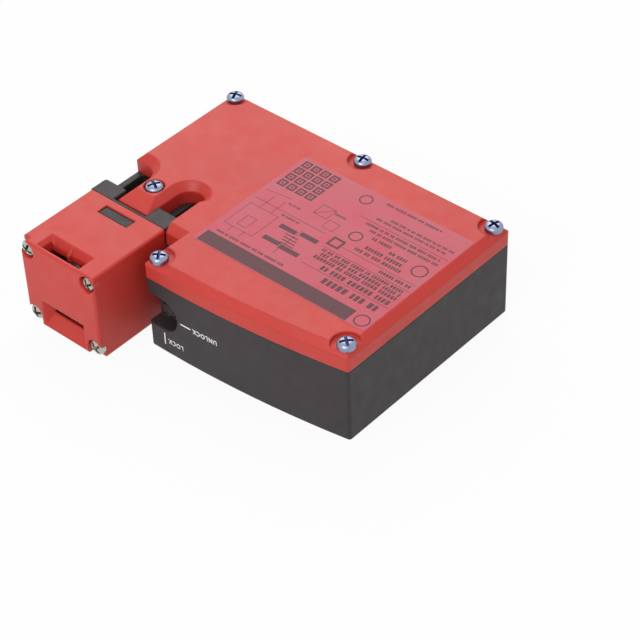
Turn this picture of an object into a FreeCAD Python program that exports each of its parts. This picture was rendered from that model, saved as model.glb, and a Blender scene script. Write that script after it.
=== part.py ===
import FreeCAD, Part
import math
import os
import Sketcher

# Key-operated guard-locking safety switch, lying on its mounting back.
# X runs along the body's back edge, -Y points at the key head, +Z points out of the cover.
# u is measured from the left edge of the body and v from its back edge towards the head.

# Driving dimensions, millimetres and degrees
SIZES = {
    # body in plan and height
    "body_length": 110.0,
    "base_height": 26.0,
    "cover_height": 7.0,
    "side_wall": 3.0,
    "floor_wall": 2.5,
    "back_wall": 9.0,
    "neck_depth": 7.65,
    "main_left": 37.1,
    "main_ahead": 14.6,
    "right_ahead": 8.4,
    "bow_height": 1.7,
    "corner_round": 1.0,
    "front_wall": 5.5,
    "main_wall": 1.8,
    "corner_cut": 6.5,
    "post_width": 11.2,
    "post_depth": 10.9,
    # cover
    "cover_chamfer": 2.4,
    "cover_top": 2.6,
    "notch_radius": 4.9,
    "notch_ahead": 1.15,
    "tab_gap": 1.2,
    "gasket_width": 1.3,
    "gasket_thick": 1.2,
    "rim_land": 0.9,
    "cover_land": 1.0,
    # cover screws
    "screw_inset": 3.3,
    "middle_screw": 56.3,
    "tab_screw_back": 11.6,
    "screw_shank": 2.9,
    "screw_head": 5.6,
    "screw_head_height": 2.2,
    "screw_length": 9.8,
    "spot_face": 9.4,
    "spot_depth": 1.2,
    "tab_counterbore": 6.6,
    # fixing slots
    "slot_length": 13.3,
    "slot_width": 5.3,
    "slot_spacing": 22.0,
    "slot_wall": 2.0,
    # cable entries
    "entry_bore": 14.5,
    "entry_from_left": 38.0,
    "entry_spacing": 40.0,
    "entry_height": 13.2,
    # key head
    "head_centre": 15.9,
    "head_width": 31.0,
    "head_depth": 29.9,
    "head_height": 31.4,
    "head_round": 0.8,
    "head_cavity": 20.4,
    "head_front_wall": 4.2,
    "head_floor": 3.0,
    "head_roof": 4.6,
    "key_skin": 1.2,
    "key_gap": 4.7,
    "key_slit": 13.2,
    "key_mouth": 18.0,
    "top_mouth_back": 1.6,
    "top_mouth_depth": 2.4,
    "front_mouth_low": 0.4,
    "front_mouth_depth": 3.4,
    "front_slit_low": 5.6,
    "front_slit_high": 10.4,
    "fin_width": 1.1,
    "fin_reach": 0.9,
    "window_width": 12.2,
    "window_depth": 3.9,
    "window_ahead": 2.7,
    "window_recess": 0.3,
    "lug_clearance": 0.15,
    "head_screw_side": 2.7,
    "head_screw_edge": 3.4,
    "head_screw_shank": 2.8,
    "head_screw_head": 5.4,
    "head_screw_recess": 6.0,
    "head_screw_seat": 2.2,
    "head_screw_sink": 0.1,
    "head_screw_grip": 6.0,
    "lobe_width": 8.7,
    "lobe_depth": 6.3,
    "lobe_round": 0.9,
    "lobe_strip": 0.9,
    # key wheel and its carrier
    "mech_height": 14.6,
    "wheel_behind_slot": 8.8,
    "wheel_radius": 10.0,
    "wheel_hub": 8.4,
    "wheel_width": 14.2,
    "disc_width": 3.6,
    "rib_width": 3.4,
    "rib_radius": 9.4,
    "rib_start": 60.0,
    "rib_stop": 200.0,
    "notch_width": 4.4,
    "notch_floor": 6.0,
    "top_notch_angle": 52.0,
    "front_notch_angle": -38.0,
    "axle_diameter": 4.0,
    "cam_width": 4.6,
    "cam_high": 8.5,
    "cam_low": 4.5,
    "cam_turn": 60.0,
    "cam_dwell": 20.0,
    "carrier_wall": 2.2,
    "carrier_roof": 2.0,
    "carrier_side_gap": 0.2,
    "wheel_side_gap": 0.3,
    # plunger
    "rod_diameter": 6.0,
    "tip_radius": 1.2,
    "tip_length": 3.6,
    "cam_clearance": 0.6,
    "collar_diameter": 11.0,
    "collar_length": 4.0,
    "stem_diameter": 2.8,
    "guide_bore": 12.4,
    "seal_diameter": 9.0,
    "seal_length": 1.8,
    "seal_inset": 1.5,
    "neck_gasket_size": 20.0,
    "neck_gasket_thick": 0.8,
    # contact block
    "block_gap": 1.0,
    "block_depth": 21.0,
    "block_width": 21.0,
    "block_height": 19.5,
    "block_wall": 1.6,
    "block_lid": 1.6,
    "carrier_width": 6.0,
    "carrier_length": 9.6,
    "carrier_margin": 0.6,
    "bridge_length": 14.0,
    "bridge_thick": 1.0,
    "bridge_tall": 2.0,
    "bridge_pitch": 4.0,
    "contact_gap": 0.3,
    "contact_reach": 5.0,
    # lock bolt, solenoid and release carriage
    "bolt_gap": 2.5,
    "bolt_width": 4.5,
    "bolt_tall": 6.0,
    "bolt_lane": 3.35,
    "bolt_travel": 4.0,
    "bolt_clearance": 0.3,
    "flange_width": 10.0,
    "flange_thick": 2.0,
    "guide_from_left": 26.0,
    "guide_length": 5.0,
    "guide_wall": 1.8,
    "saddle_length": 6.0,
    "saddle_wall": 2.6,
    "saddle_gap": 1.1,
    "spring_room": 7.6,
    "armature_diameter": 8.0,
    "armature_reach": 18.0,
    "core_length": 11.0,
    "yoke_length": 36.0,
    "yoke_width": 20.0,
    "yoke_plate": 2.0,
    "coil_diameter": 16.4,
    "bobbin_wall": 0.9,
    "bobbin_flange": 1.2,
    "wire_size": 0.7,
    "spring_turns": 4.0,
    # override
    "override_left": 43.1,
    "recess_radius": 5.8,
    "recess_depth": 5.0,
    "spindle_head": 9.2,
    "spindle_head_length": 4.2,
    "spindle_shaft": 4.6,
    "post_size": 5.6,
    "flute_radius": 0.8,
    "post_height": 2.6,
    "seal_wire": 1.2,
    "clip_diameter": 7.0,
    "clip_thick": 0.6,
    "clip_groove": 3.2,
    "crank_thick": 2.0,
    "crank_pin": 2.4,
    # terminals
    "terminal_side_gap": 1.0,
    "terminal_pitch": 6.0,
    "terminal_count": 8.0,
    "terminal_depth": 12.0,
    "terminal_height": 14.0,
    "terminal_ahead": 3.0,
    "terminal_screw": 3.0,
    "terminal_head": 4.6,
    "terminal_head_height": 1.8,
    "cage_size": 4.0,
    "cage_bore": 2.4,
    "terminal_floor": 2.5,
    "terminal_sink": 0.6,
    # fits
    "running_gap": 0.05,
    "sliding_gap": 0.1,
    "moving_gap": 0.3,
}


DIAGONAL = math.sqrt(0.5)
FLUTES = 6
CLOSE = 1e-4


class Size:
    """A length together with the sheet formula behind it, so that sums keep both."""

    def __init__(self, value, formula):
        self.value = value
        self.formula = formula

    def joined(self, sign, other, value):
        return Size(value, f"({self.formula} {sign} {other.formula})")

    def __add__(self, other):
        other = as_size(other)
        return self.joined("+", other, self.value + other.value)

    def __sub__(self, other):
        other = as_size(other)
        return self.joined("-", other, self.value - other.value)

    def __mul__(self, other):
        other = as_size(other)
        return self.joined("*", other, self.value * other.value)

    def __truediv__(self, other):
        other = as_size(other)
        return self.joined("/", other, self.value / other.value)

    def __neg__(self):
        return as_size(0) - self


def as_size(number):
    if isinstance(number, Size):
        return number
    return Size(float(number), repr(float(number)))


def cosine(angle):
    return Size(math.cos(math.radians(angle.value)), f"cos({angle.formula} * 1 deg)")


def sine(angle):
    return Size(math.sin(math.radians(angle.value)), f"sin({angle.formula} * 1 deg)")


class Via:
    """Marks the stretch between two outline points as an arc through a third one."""

    def __init__(self, across, up):
        self.spot = (as_size(across), as_size(up))


class Round:
    """A whole circle in a sketch."""

    def __init__(self, across, up, radius):
        self.centre = (as_size(across), as_size(up))
        self.radius = as_size(radius)


doc = FreeCAD.newDocument("guard_lock_switch")
sheet = doc.addObject("Spreadsheet::Sheet", "sizes")
for row, (alias, number) in enumerate(SIZES.items(), start=1):
    sheet.set(f"A{row}", alias)
    sheet.set(f"B{row}", str(number))
    sheet.setAlias(f"B{row}", alias)
doc.recompute()


class Sheet:
    """Reads a driving dimension of the sheet as a Size."""

    def __getattr__(self, alias):
        return Size(float(sheet.get(alias)), f"sizes.{alias}")


s = Sheet()
SUBPARTS = []


def pin_point(sketch, geometry, place, spot):
    """Holds one point of a sketch at a spot measured from the sketch's origin."""
    for kind, size in zip(("DistanceX", "DistanceY"), spot):
        index = sketch.addConstraint(
            Sketcher.Constraint(kind, -1, 1, geometry, place, size.value)
        )
        sketch.setExpression(f"Constraints[{index}]", size.formula)


def vector(spot):
    return FreeCAD.Vector(spot[0].value, spot[1].value, 0)


def draw_circle(sketch, circle):
    normal = FreeCAD.Vector(0, 0, 1)
    shape = Part.Circle(vector(circle.centre), normal, circle.radius.value)
    geometry = sketch.addGeometry(shape)
    index = sketch.addConstraint(
        Sketcher.Constraint("Radius", geometry, circle.radius.value)
    )
    sketch.setExpression(f"Constraints[{index}]", circle.radius.formula)
    pin_point(sketch, geometry, 3, circle.centre)


def draw_arc(sketch, start, via, stop):
    """Adds an arc and returns its index and which of its ends is the start."""
    bend = (vector(via) - vector(start)).cross(vector(stop) - vector(via)).z
    geometry = sketch.addGeometry(Part.Arc(vector(start), vector(via), vector(stop)))
    spot = sketch.addGeometry(Part.Point(vector(via)), True)
    pin_point(sketch, spot, 1, via)
    sketch.addConstraint(Sketcher.Constraint("PointOnObject", spot, 1, geometry))
    if bend > 0:
        return geometry, 1, 2
    return geometry, 2, 1


def draw_outline(sketch, outline):
    """Draws a closed outline of points, with arcs where a Via stands between two."""
    spots = []
    bends = {}
    for item in outline:
        if isinstance(item, Via):
            bends[len(spots) - 1] = item.spot
        else:
            spots.append((as_size(item[0]), as_size(item[1])))
    edges = []
    for index, start in enumerate(spots):
        stop = spots[(index + 1) % len(spots)]
        if index in bends:
            edges.append(draw_arc(sketch, start, bends[index], stop))
        else:
            line = sketch.addGeometry(Part.LineSegment(vector(start), vector(stop)))
            edges.append((line, 1, 2))
    for index, (line, first, last) in enumerate(edges):
        after, after_first, after_last = edges[(index + 1) % len(edges)]
        sketch.addConstraint(
            Sketcher.Constraint("Coincident", line, last, after, after_first)
        )
        pin_point(sketch, line, first, spots[index])


PLANES = {"x": "YZ_Plane", "y": "XZ_Plane", "z": "XY_Plane"}


class Piece:
    """One PartDesign body, built up by extrusions and turned profiles."""

    def __init__(self, label, listed=True):
        self.body = doc.addObject("PartDesign::Body", label)
        self.body.Label = label
        if listed:
            SUBPARTS.append(self.body)

    def sketch(self, role, shifts, loops):
        sketch = self.body.newObject("Sketcher::SketchObject", "outline")
        plane = next(f for f in self.body.Origin.OriginFeatures if f.Role == role)
        sketch.AttachmentSupport = [(plane, "")]
        sketch.MapMode = "FlatFace"
        for axis, shift in zip("xyz", shifts):
            sketch.setExpression(f"AttachmentOffset.Base.{axis}", as_size(shift).formula)
        for loop in loops:
            if isinstance(loop, Round):
                draw_circle(sketch, loop)
            else:
                draw_outline(sketch, loop)
        return sketch

    def extrude(self, kind, axis, one_end, other_end, loops):
        ends = sorted((as_size(one_end), as_size(other_end)), key=lambda end: end.value)
        level = ends[0]
        if axis == "y":
            level = -ends[1]
        sketch = self.sketch(PLANES[axis], (0, 0, level), loops)
        feature = self.body.newObject(f"PartDesign::{kind}", kind)
        feature.Profile = sketch
        feature.Reversed = kind == "Pocket"
        feature.setExpression("Length", (ends[1] - ends[0]).formula)

    def pad(self, axis, one_end, other_end, *loops):
        self.extrude("Pad", axis, one_end, other_end, loops)

    def cut(self, axis, one_end, other_end, *loops):
        self.extrude("Pocket", axis, one_end, other_end, loops)

    def turn(self, axis, centre, profile):
        """Turns a profile of (place along the axis, radius) about an axis."""
        across, up = centre
        if axis == "z":
            sketch = self.sketch("XZ_Plane", (across, 0, -up), [swapped(profile)])
            line = "V_Axis"
        elif axis == "y":
            sketch = self.sketch("YZ_Plane", (0, up, across), [profile])
            line = "H_Axis"
        else:
            sketch = self.sketch("XY_Plane", (0, across, up), [profile])
            line = "H_Axis"
        feature = self.body.newObject("PartDesign::Revolution", "Turned")
        feature.Profile = sketch
        feature.ReferenceAxis = (sketch, [line])
        feature.Angle = 360

    def funnel(self, axis, wide_end, wide, narrow_end, narrow):
        """Cuts a tapered mouth from a wide outline to a narrow one further in."""
        ends = []
        for level, loop in ((wide_end, wide), (narrow_end, narrow)):
            level = as_size(level)
            if axis == "y":
                level = -level
            ends.append(self.sketch(PLANES[axis], (0, 0, level), [loop]))
        feature = self.body.newObject("PartDesign::SubtractiveLoft", "Mouth")
        feature.Profile = ends[0]
        feature.Sections = ends[1:]
        feature.Ruled = True

    def edges(self, chosen):
        doc.recompute()
        shape = self.body.Tip.Shape
        return [f"Edge{n}" for n, edge in enumerate(shape.Edges, start=1) if chosen(edge)]

    def fillet(self, radius, chosen):
        names = self.edges(chosen)
        base = self.body.Tip
        feature = self.body.newObject("PartDesign::Fillet", "Fillet")
        feature.Base = (base, names)
        feature.setExpression("Radius", radius.formula)

    def chamfer(self, size, chosen):
        names = self.edges(chosen)
        base = self.body.Tip
        feature = self.body.newObject("PartDesign::Chamfer", "Chamfer")
        feature.Base = (base, names)
        feature.setExpression("Size", size.formula)


def swapped(profile):
    turned = []
    for item in profile:
        if isinstance(item, Via):
            turned.append(Via(item.spot[1], item.spot[0]))
        else:
            turned.append((item[1], item[0]))
    return turned


def group(label, pieces):
    """Joins like solids into one named sub-part."""
    compound = doc.addObject("Part::Compound", label)
    compound.Label = label
    compound.Links = pieces
    SUBPARTS.append(compound)


def block(label, x_ends, y_ends, z_ends):
    """A plain block between pairs of levels."""
    box = doc.addObject("Part::Box", label)
    names = ("Length", "Width", "Height")
    for name, axis, ends in zip(names, "xyz", (x_ends, y_ends, z_ends)):
        low, high = sorted((as_size(ends[0]), as_size(ends[1])), key=lambda end: end.value)
        box.setExpression(name, (high - low).formula)
        box.setExpression(f"Placement.Base.{axis}", low.formula)
    return box


def rectangle(left, right, low, high):
    return [(left, low), (right, low), (right, high), (left, high)]


def ring(across, up, outer, inner):
    return [Round(across, up, outer), Round(across, up, inner)]


def same(one, other):
    return abs(one - other.value) < CLOSE


def is_upright(edge):
    ends = [vertex.Point for vertex in edge.Vertexes]
    if len(ends) < 2:
        return False
    return abs(ends[0].x - ends[1].x) + abs(ends[0].y - ends[1].y) < CLOSE


def at_height(edge, level):
    return all(same(vertex.Z, level) for vertex in edge.Vertexes)


# Places across the body (u) and along it (v)
def x_at(u):
    return as_size(u) - s.body_length / 2


block_back = s.back_wall + s.block_gap
block_front = block_back + s.block_depth
bolt_back = block_front + s.bolt_gap
bolt_axis = bolt_back + s.bolt_width / 2
bolt_front = bolt_back + s.bolt_width
boss_back = bolt_front + s.bolt_lane
slot_back = boss_back + s.slot_wall
slot_front = slot_back + s.slot_length
seat = slot_front + s.neck_depth
head_front = seat + s.head_depth


def y_at(v):
    return head_front / 2 - v


top = s.base_height + s.cover_height
centre_x = x_at(s.head_centre)
mech = s.mech_height
right_front = seat + s.right_ahead
main_front = seat + s.main_ahead
neck_inside = seat - s.lobe_depth
travel = s.cam_high - s.cam_low

# Body outline in plan, with its bowed front
bow = Via(
    (x_at(s.body_length) + x_at(s.main_left)) / 2,
    (y_at(right_front) + y_at(main_front)) / 2 - s.bow_height,
)
back_and_front = [
    (x_at(0), y_at(0)),
    (x_at(s.body_length), y_at(0)),
    (x_at(s.body_length), y_at(right_front)),
    bow,
    (x_at(s.main_left), y_at(main_front)),
    (x_at(s.main_left), y_at(seat)),
]
base_outline = back_and_front + [(x_at(0), y_at(seat))]


def is_outer_corner(edge):
    """Picks the upright edges at the body's outer corners, below any chamfer."""
    spot = edge.Vertexes[0].Point
    corners = [corner for corner in base_outline if corner is not bow]
    outer = corners[:4] + corners[5:]
    return is_upright(edge) and any(same(spot.x, x) and same(spot.y, y) for x, y in outer)


notch_v = slot_back + s.notch_ahead + s.notch_radius
notch_end = notch_v - s.notch_radius
slot_left_u = s.head_centre - s.slot_spacing / 2
slot_right_u = s.head_centre + s.slot_spacing / 2
strip_back = seat - s.lobe_strip
tab_end = strip_back - s.tab_gap
cover_outline = back_and_front + [
    (x_at(slot_right_u + s.notch_radius), y_at(seat)),
    (x_at(slot_right_u + s.notch_radius), y_at(notch_v)),
    Via(x_at(slot_right_u), y_at(notch_end)),
    (x_at(slot_right_u - s.notch_radius), y_at(notch_v)),
    (x_at(slot_right_u - s.notch_radius), y_at(tab_end)),
    (x_at(slot_left_u + s.notch_radius), y_at(tab_end)),
    (x_at(slot_left_u + s.notch_radius), y_at(notch_v)),
    Via(
        x_at(slot_left_u + s.notch_radius * DIAGONAL),
        y_at(notch_v - s.notch_radius * DIAGONAL),
    ),
    (x_at(slot_left_u), y_at(notch_end)),
    (x_at(0), y_at(notch_end)),
]

# Inner space of the body, which the cover gasket runs round
post_left = s.main_left + s.main_wall
wing_right = slot_right_u + s.notch_radius + s.gasket_width + s.rim_land
MITRE = math.tan(math.radians(22.5))


def inner_outline(grow):
    """The inner space's outline, moved out by grow on every side."""
    grow = as_size(grow)
    right = s.body_length - s.side_wall
    front = right_front - s.front_wall
    return [
        (x_at(s.side_wall - grow), y_at(s.back_wall - grow)),
        (x_at(right + grow), y_at(s.back_wall - grow)),
        (x_at(right + grow), y_at(front - s.corner_cut + grow * MITRE)),
        (x_at(right - s.corner_cut + grow * MITRE), y_at(front + grow)),
        (x_at(post_left + s.post_width - grow), y_at(main_front - s.front_wall + grow)),
        (x_at(post_left + s.post_width - grow), y_at(main_front - s.post_depth + grow)),
        (x_at(post_left - grow), y_at(main_front - s.post_depth + grow)),
        (x_at(post_left - grow), y_at(seat - s.side_wall + grow)),
        (x_at(wing_right - grow), y_at(seat - s.side_wall + grow)),
        (x_at(wing_right - grow), y_at(boss_back + grow)),
        (x_at(s.side_wall - grow), y_at(boss_back + grow)),
    ]


corner_screw_spots = [
    (x_at(s.screw_inset), y_at(s.screw_inset)),
    (x_at(s.middle_screw), y_at(s.screw_inset)),
    (x_at(s.body_length - s.screw_inset), y_at(s.screw_inset)),
    (x_at(s.body_length - s.screw_inset), y_at(right_front - s.screw_inset)),
    (x_at(s.main_left + s.screw_inset), y_at(main_front - s.screw_inset)),
]
tab_screw_spot = (centre_x, y_at(seat - s.tab_screw_back))
cover_screw_spots = corner_screw_spots + [tab_screw_spot]
screw_seat = top - s.spot_depth
screw_tip = screw_seat - s.screw_length

head_left = s.head_centre - s.head_width / 2
head_right = s.head_centre + s.head_width / 2
head_screw_sides = [x_at(head_left + s.head_screw_side), x_at(head_right - s.head_screw_side)]
head_screw_spots = [
    (x, z) for x in head_screw_sides for z in (s.head_screw_edge, s.head_height - s.head_screw_edge)
]


def circles(spots, radius):
    return [Round(across, up, radius) for across, up in spots]


def fixing_slot(u):
    """An elongated hole along the body, round at both ends."""
    radius = s.slot_width / 2
    return [
        (x_at(u - radius), y_at(slot_back + radius)),
        Via(x_at(u), y_at(slot_back)),
        (x_at(u + radius), y_at(slot_back + radius)),
        (x_at(u + radius), y_at(slot_front - radius)),
        Via(x_at(u), y_at(slot_front)),
        (x_at(u - radius), y_at(slot_front - radius)),
    ]


# Override in the front wall
override_x = x_at(s.override_left)
recess_floor = main_front - s.recess_depth
spindle_back = recess_floor - s.spindle_head_length
post_back = main_front - s.post_depth


def is_lobe_corner(edge):
    """Picks the upright edges at the back outer corners of the two lobes."""
    spot = edge.Vertexes[0].Point
    outer = same(spot.x, x_at(head_left)) or same(spot.x, x_at(head_right))
    return is_upright(edge) and outer and same(spot.y, y_at(neck_inside))


def make_base_housing():
    piece = Piece("base_housing")
    piece.pad("z", 0, s.base_height, base_outline)
    piece.fillet(s.corner_round, is_outer_corner)
    lobes = [
        (x_at(head_left), y_at(seat)),
        (x_at(head_right), y_at(seat)),
        (x_at(head_right), y_at(neck_inside)),
        (x_at(head_right - s.lobe_width), y_at(neck_inside)),
        (x_at(head_right - s.lobe_width), y_at(strip_back)),
        (x_at(head_left + s.lobe_width), y_at(strip_back)),
        (x_at(head_left + s.lobe_width), y_at(neck_inside)),
        (x_at(head_left), y_at(neck_inside)),
    ]
    piece.pad("z", s.base_height, s.head_height, lobes)
    piece.fillet(s.lobe_round, is_lobe_corner)
    piece.cut("z", s.floor_wall, s.base_height, inner_outline(0))
    ledge = s.base_height - s.gasket_thick
    piece.cut("z", ledge, s.base_height, inner_outline(s.gasket_width))
    piece.cut("z", 0, s.base_height, fixing_slot(slot_left_u), fixing_slot(slot_right_u))
    entries = [
        (x_at(s.entry_from_left + s.entry_spacing * n), s.entry_height) for n in (0, 1)
    ]
    piece.cut("y", y_at(0), y_at(s.back_wall), *circles(entries, s.entry_bore / 2))
    piece.cut("y", y_at(boss_back), y_at(neck_inside), Round(centre_x, mech, s.guide_bore / 2))
    rod_bore = s.rod_diameter / 2 + s.running_gap
    piece.cut("y", y_at(neck_inside), y_at(seat), Round(centre_x, mech, rod_bore))
    piece.cut("y", y_at(seal_back), y_at(seal_front), Round(centre_x, mech, s.seal_diameter / 2))
    piece.cut("y", y_at(seat - s.neck_gasket_thick), y_at(seat), neck_gasket_outline)
    grip = circles(head_screw_spots, s.head_screw_shank / 2 + s.running_gap)
    piece.cut("y", y_at(seat - s.head_screw_grip), y_at(seat), *grip)
    holes = circles(cover_screw_spots, s.screw_shank / 2 + s.running_gap)
    piece.cut("z", screw_tip, s.base_height, *holes)
    recess = [
        (x_at(s.main_left) - s.recess_depth, mech - s.recess_radius),
        (override_x, mech - s.recess_radius),
        Via(override_x + s.recess_radius, mech),
        (override_x, mech + s.recess_radius),
        (x_at(s.main_left) - s.recess_depth, mech + s.recess_radius),
    ]
    piece.cut("y", y_at(recess_floor), y_at(main_front + s.bow_height), recess)
    head_bore = Round(override_x, mech, s.spindle_head / 2 + s.running_gap)
    piece.cut("y", y_at(spindle_back), y_at(recess_floor), head_bore)
    shaft_bore = Round(override_x, mech, s.spindle_shaft / 2 + s.running_gap)
    piece.cut("y", y_at(post_back), y_at(spindle_back), shaft_bore)


def make_cover():
    piece = Piece("cover")
    piece.pad("z", s.base_height, top, cover_outline)

    def at_top(edge):
        return at_height(edge, top)

    piece.chamfer(s.cover_chamfer, at_top)
    piece.fillet(s.corner_round, is_outer_corner)
    pocket_right = x_at(slot_right_u + s.notch_radius)
    slope_foot = top - s.cover_chamfer
    sharp_side = [
        (y_at(notch_v), slope_foot),
        (y_at(notch_v), top),
        (y_at(seat - s.cover_chamfer), top),
        (y_at(seat), slope_foot),
    ]
    piece.pad("x", pocket_right, pocket_right + s.cover_chamfer, sharp_side)
    piece.cut("z", s.base_height, top - s.cover_top, inner_outline(-s.cover_land))
    piece.cut("z", screw_seat, top, *circles(corner_screw_spots, s.spot_face / 2))
    piece.cut("z", screw_seat, top, *circles([tab_screw_spot], s.tab_counterbore / 2))
    holes = circles(cover_screw_spots, s.screw_shank / 2 + s.running_gap)
    piece.cut("z", s.base_height, screw_seat, *holes)


def make_cover_gasket():
    piece = Piece("cover_gasket")
    ledge = s.base_height - s.gasket_thick
    piece.pad("z", ledge, s.base_height, inner_outline(s.gasket_width), inner_outline(0))


def pan_screw(axis, centre, seat_level, head_sign, shank, head, head_height, length):
    """A bevelled pan-head screw whose head stands on seat_level, on the head_sign side."""
    piece = Piece("screw", listed=False)
    crown = seat_level + head_height * head_sign
    edge = head_height / 2
    piece.turn(
        axis,
        centre,
        [
            (seat_level - length * head_sign, 0),
            (seat_level - length * head_sign, shank / 2),
            (seat_level, shank / 2),
            (seat_level, head / 2),
            (crown - edge * head_sign, head / 2),
            (crown, head / 2 - edge),
            (crown, 0),
        ],
    )
    return piece.body


def make_cover_screws():
    screws = [
        pan_screw(
            "z", spot, screw_seat, 1, s.screw_shank, s.screw_head,
            s.screw_head_height, s.screw_length,
        )
        for spot in cover_screw_spots
    ]
    group("cover_screws", screws)


# Key head: v levels and heights of its inner space
well_front = head_front - s.key_skin
key_back = well_front - s.key_gap
cavity_front = head_front - s.head_front_wall
cavity_top = s.head_height - s.head_roof
cavity_half = s.head_cavity / 2
window_back = seat + s.window_ahead
window_front = window_back + s.window_depth
wheel_v = key_back - s.wheel_behind_slot
wheel_y = y_at(wheel_v)


def make_head_shell():
    piece = Piece("head_shell")
    sides = rectangle(x_at(head_left), x_at(head_right), y_at(head_front), y_at(seat))
    piece.pad("z", 0, s.head_height, sides)

    def off_seat(edge):
        return not all(same(vertex.Y, y_at(seat)) for vertex in edge.Vertexes)

    piece.fillet(s.head_round, off_seat)
    cavity = rectangle(
        centre_x - cavity_half, centre_x + cavity_half, s.head_floor, cavity_top
    )
    piece.cut("y", y_at(seat), y_at(cavity_front), cavity)
    mouth_left = centre_x - s.key_mouth / 2
    mouth_right = centre_x + s.key_mouth / 2
    slit_left = centre_x - s.key_slit / 2
    slit_right = centre_x + s.key_slit / 2
    slit = rectangle(slit_left, slit_right, y_at(well_front), y_at(key_back))
    piece.cut("z", s.front_slit_low, s.head_height, slit)
    mouth_back = key_back - s.top_mouth_back
    mouth_floor = s.head_height - s.top_mouth_depth
    top_mouth = rectangle(mouth_left, mouth_right, y_at(well_front), y_at(mouth_back))
    piece.funnel("z", s.head_height, top_mouth, mouth_floor, slit)
    front_mouth = rectangle(mouth_left, mouth_right, s.front_mouth_low, s.front_slit_high)
    front_slit = rectangle(slit_left, slit_right, s.front_slit_low, s.front_slit_high)
    front_mouth_end = y_at(head_front - s.front_mouth_depth)
    piece.funnel("y", y_at(head_front), front_mouth, front_mouth_end, front_slit)
    fin = [
        (y_at(mouth_back), s.head_height),
        (y_at(mouth_back), cavity_top),
        (y_at(key_back + s.fin_reach), cavity_top),
        (y_at(key_back + s.fin_reach), mouth_floor),
    ]
    piece.pad("x", centre_x - s.fin_width / 2, centre_x + s.fin_width / 2, fin)
    window = rectangle(
        centre_x - s.window_width / 2, centre_x + s.window_width / 2,
        y_at(window_front), y_at(window_back),
    )
    piece.cut("z", cavity_top, s.head_height, window)
    screw_floor = y_at(head_front - s.head_screw_seat)
    recess = s.head_screw_recess / 2
    for x in head_screw_sides:
        low = s.head_screw_edge
        open_below = [
            (x - recess, 0),
            (x + recess, 0),
            (x + recess, low),
            Via(x, low + recess),
            (x - recess, low),
        ]
        closed = Round(x, s.head_height - s.head_screw_edge, recess)
        piece.cut("y", screw_floor, y_at(head_front), open_below, closed)
    holes = circles(head_screw_spots, s.head_screw_shank / 2 + s.running_gap)
    piece.cut("y", y_at(seat), screw_floor, *holes)


def make_head_screws():
    seat_level = y_at(head_front - s.head_screw_seat)
    height = s.head_screw_seat - s.head_screw_sink
    length = s.head_depth - s.head_screw_seat + s.head_screw_grip
    screws = [
        pan_screw(
            "y", spot, seat_level, -1, s.head_screw_shank, s.head_screw_head, height, length
        )
        for spot in head_screw_spots
    ]
    group("head_screws", screws)


seal_back = neck_inside + s.seal_inset
seal_front = seal_back + s.seal_length
gasket_half = s.neck_gasket_size / 2
neck_gasket_outline = rectangle(
    centre_x - gasket_half, centre_x + gasket_half, mech - gasket_half, mech + gasket_half
)


def make_seals():
    piece = Piece("neck_gasket")
    hole = Round(centre_x, mech, s.rod_diameter / 2 + s.moving_gap)
    piece.pad("y", y_at(seat - s.neck_gasket_thick), y_at(seat), neck_gasket_outline, hole)
    piece = Piece("plunger_seal")
    lip = s.rod_diameter / 2 + s.running_gap
    piece.pad("y", y_at(seal_back), y_at(seal_front), *ring(centre_x, mech, s.seal_diameter / 2, lip))


def make_wheel_carrier():
    piece = Piece("wheel_carrier")
    half = cavity_half - s.carrier_side_gap
    cheek_inside = s.wheel_width / 2 + s.wheel_side_gap
    low = s.head_floor + s.carrier_side_gap
    high = cavity_top - s.carrier_side_gap
    back = seat + s.carrier_side_gap
    back_wall = rectangle(centre_x - half, centre_x + half, low, high)
    piece.pad("y", y_at(back), y_at(back + s.carrier_wall), back_wall)
    cheek_front = key_back - s.moving_gap
    cheek = [
        (y_at(back), low),
        (y_at(cheek_front), low),
        (y_at(cheek_front), mech),
        (y_at(wheel_v), high),
        (y_at(back), high),
    ]
    piece.pad("x", centre_x - half, centre_x - cheek_inside, cheek)
    piece.pad("x", centre_x + cheek_inside, centre_x + half, cheek)
    roof = rectangle(centre_x - half, centre_x + half, y_at(window_front), y_at(back))
    piece.pad("z", high - s.carrier_roof, high, roof)
    lug_half = s.window_width / 2 - s.lug_clearance
    lug = rectangle(
        centre_x - lug_half, centre_x + lug_half,
        y_at(window_front - s.lug_clearance), y_at(window_back + s.lug_clearance),
    )
    piece.pad("z", high, s.head_height - s.window_recess, lug)
    rod_hole = Round(centre_x, mech, s.rod_diameter / 2 + s.moving_gap)
    piece.cut("y", y_at(back), y_at(back + s.carrier_wall), rod_hole)
    axle_hole = Round(wheel_y, mech, s.axle_diameter / 2)
    piece.cut("x", centre_x - half, centre_x + half, axle_hole)
    axle = Piece("wheel_axle")
    axle.pad("x", centre_x - half, centre_x + half, axle_hole)


def on_wheel(radius, angle):
    """A spot on the wheel, its angle counted from the back towards the top."""
    return (wheel_y + cosine(angle) * radius, mech + sine(angle) * radius)


def key_notch(angle):
    """A square notch in the rim that opens along the given angle from the front."""
    along = (-cosine(angle), sine(angle))
    aside = (sine(angle), cosine(angle))
    half = s.notch_width / 2
    corners = []
    outside = s.wheel_radius + half
    for depth, side in ((s.notch_floor, -half), (s.notch_floor, half),
                        (outside, half), (outside, -half)):
        corners.append(tuple(
            middle + along[n] * depth + aside[n] * side
            for n, middle in enumerate((wheel_y, mech))
        ))
    return corners


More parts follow.
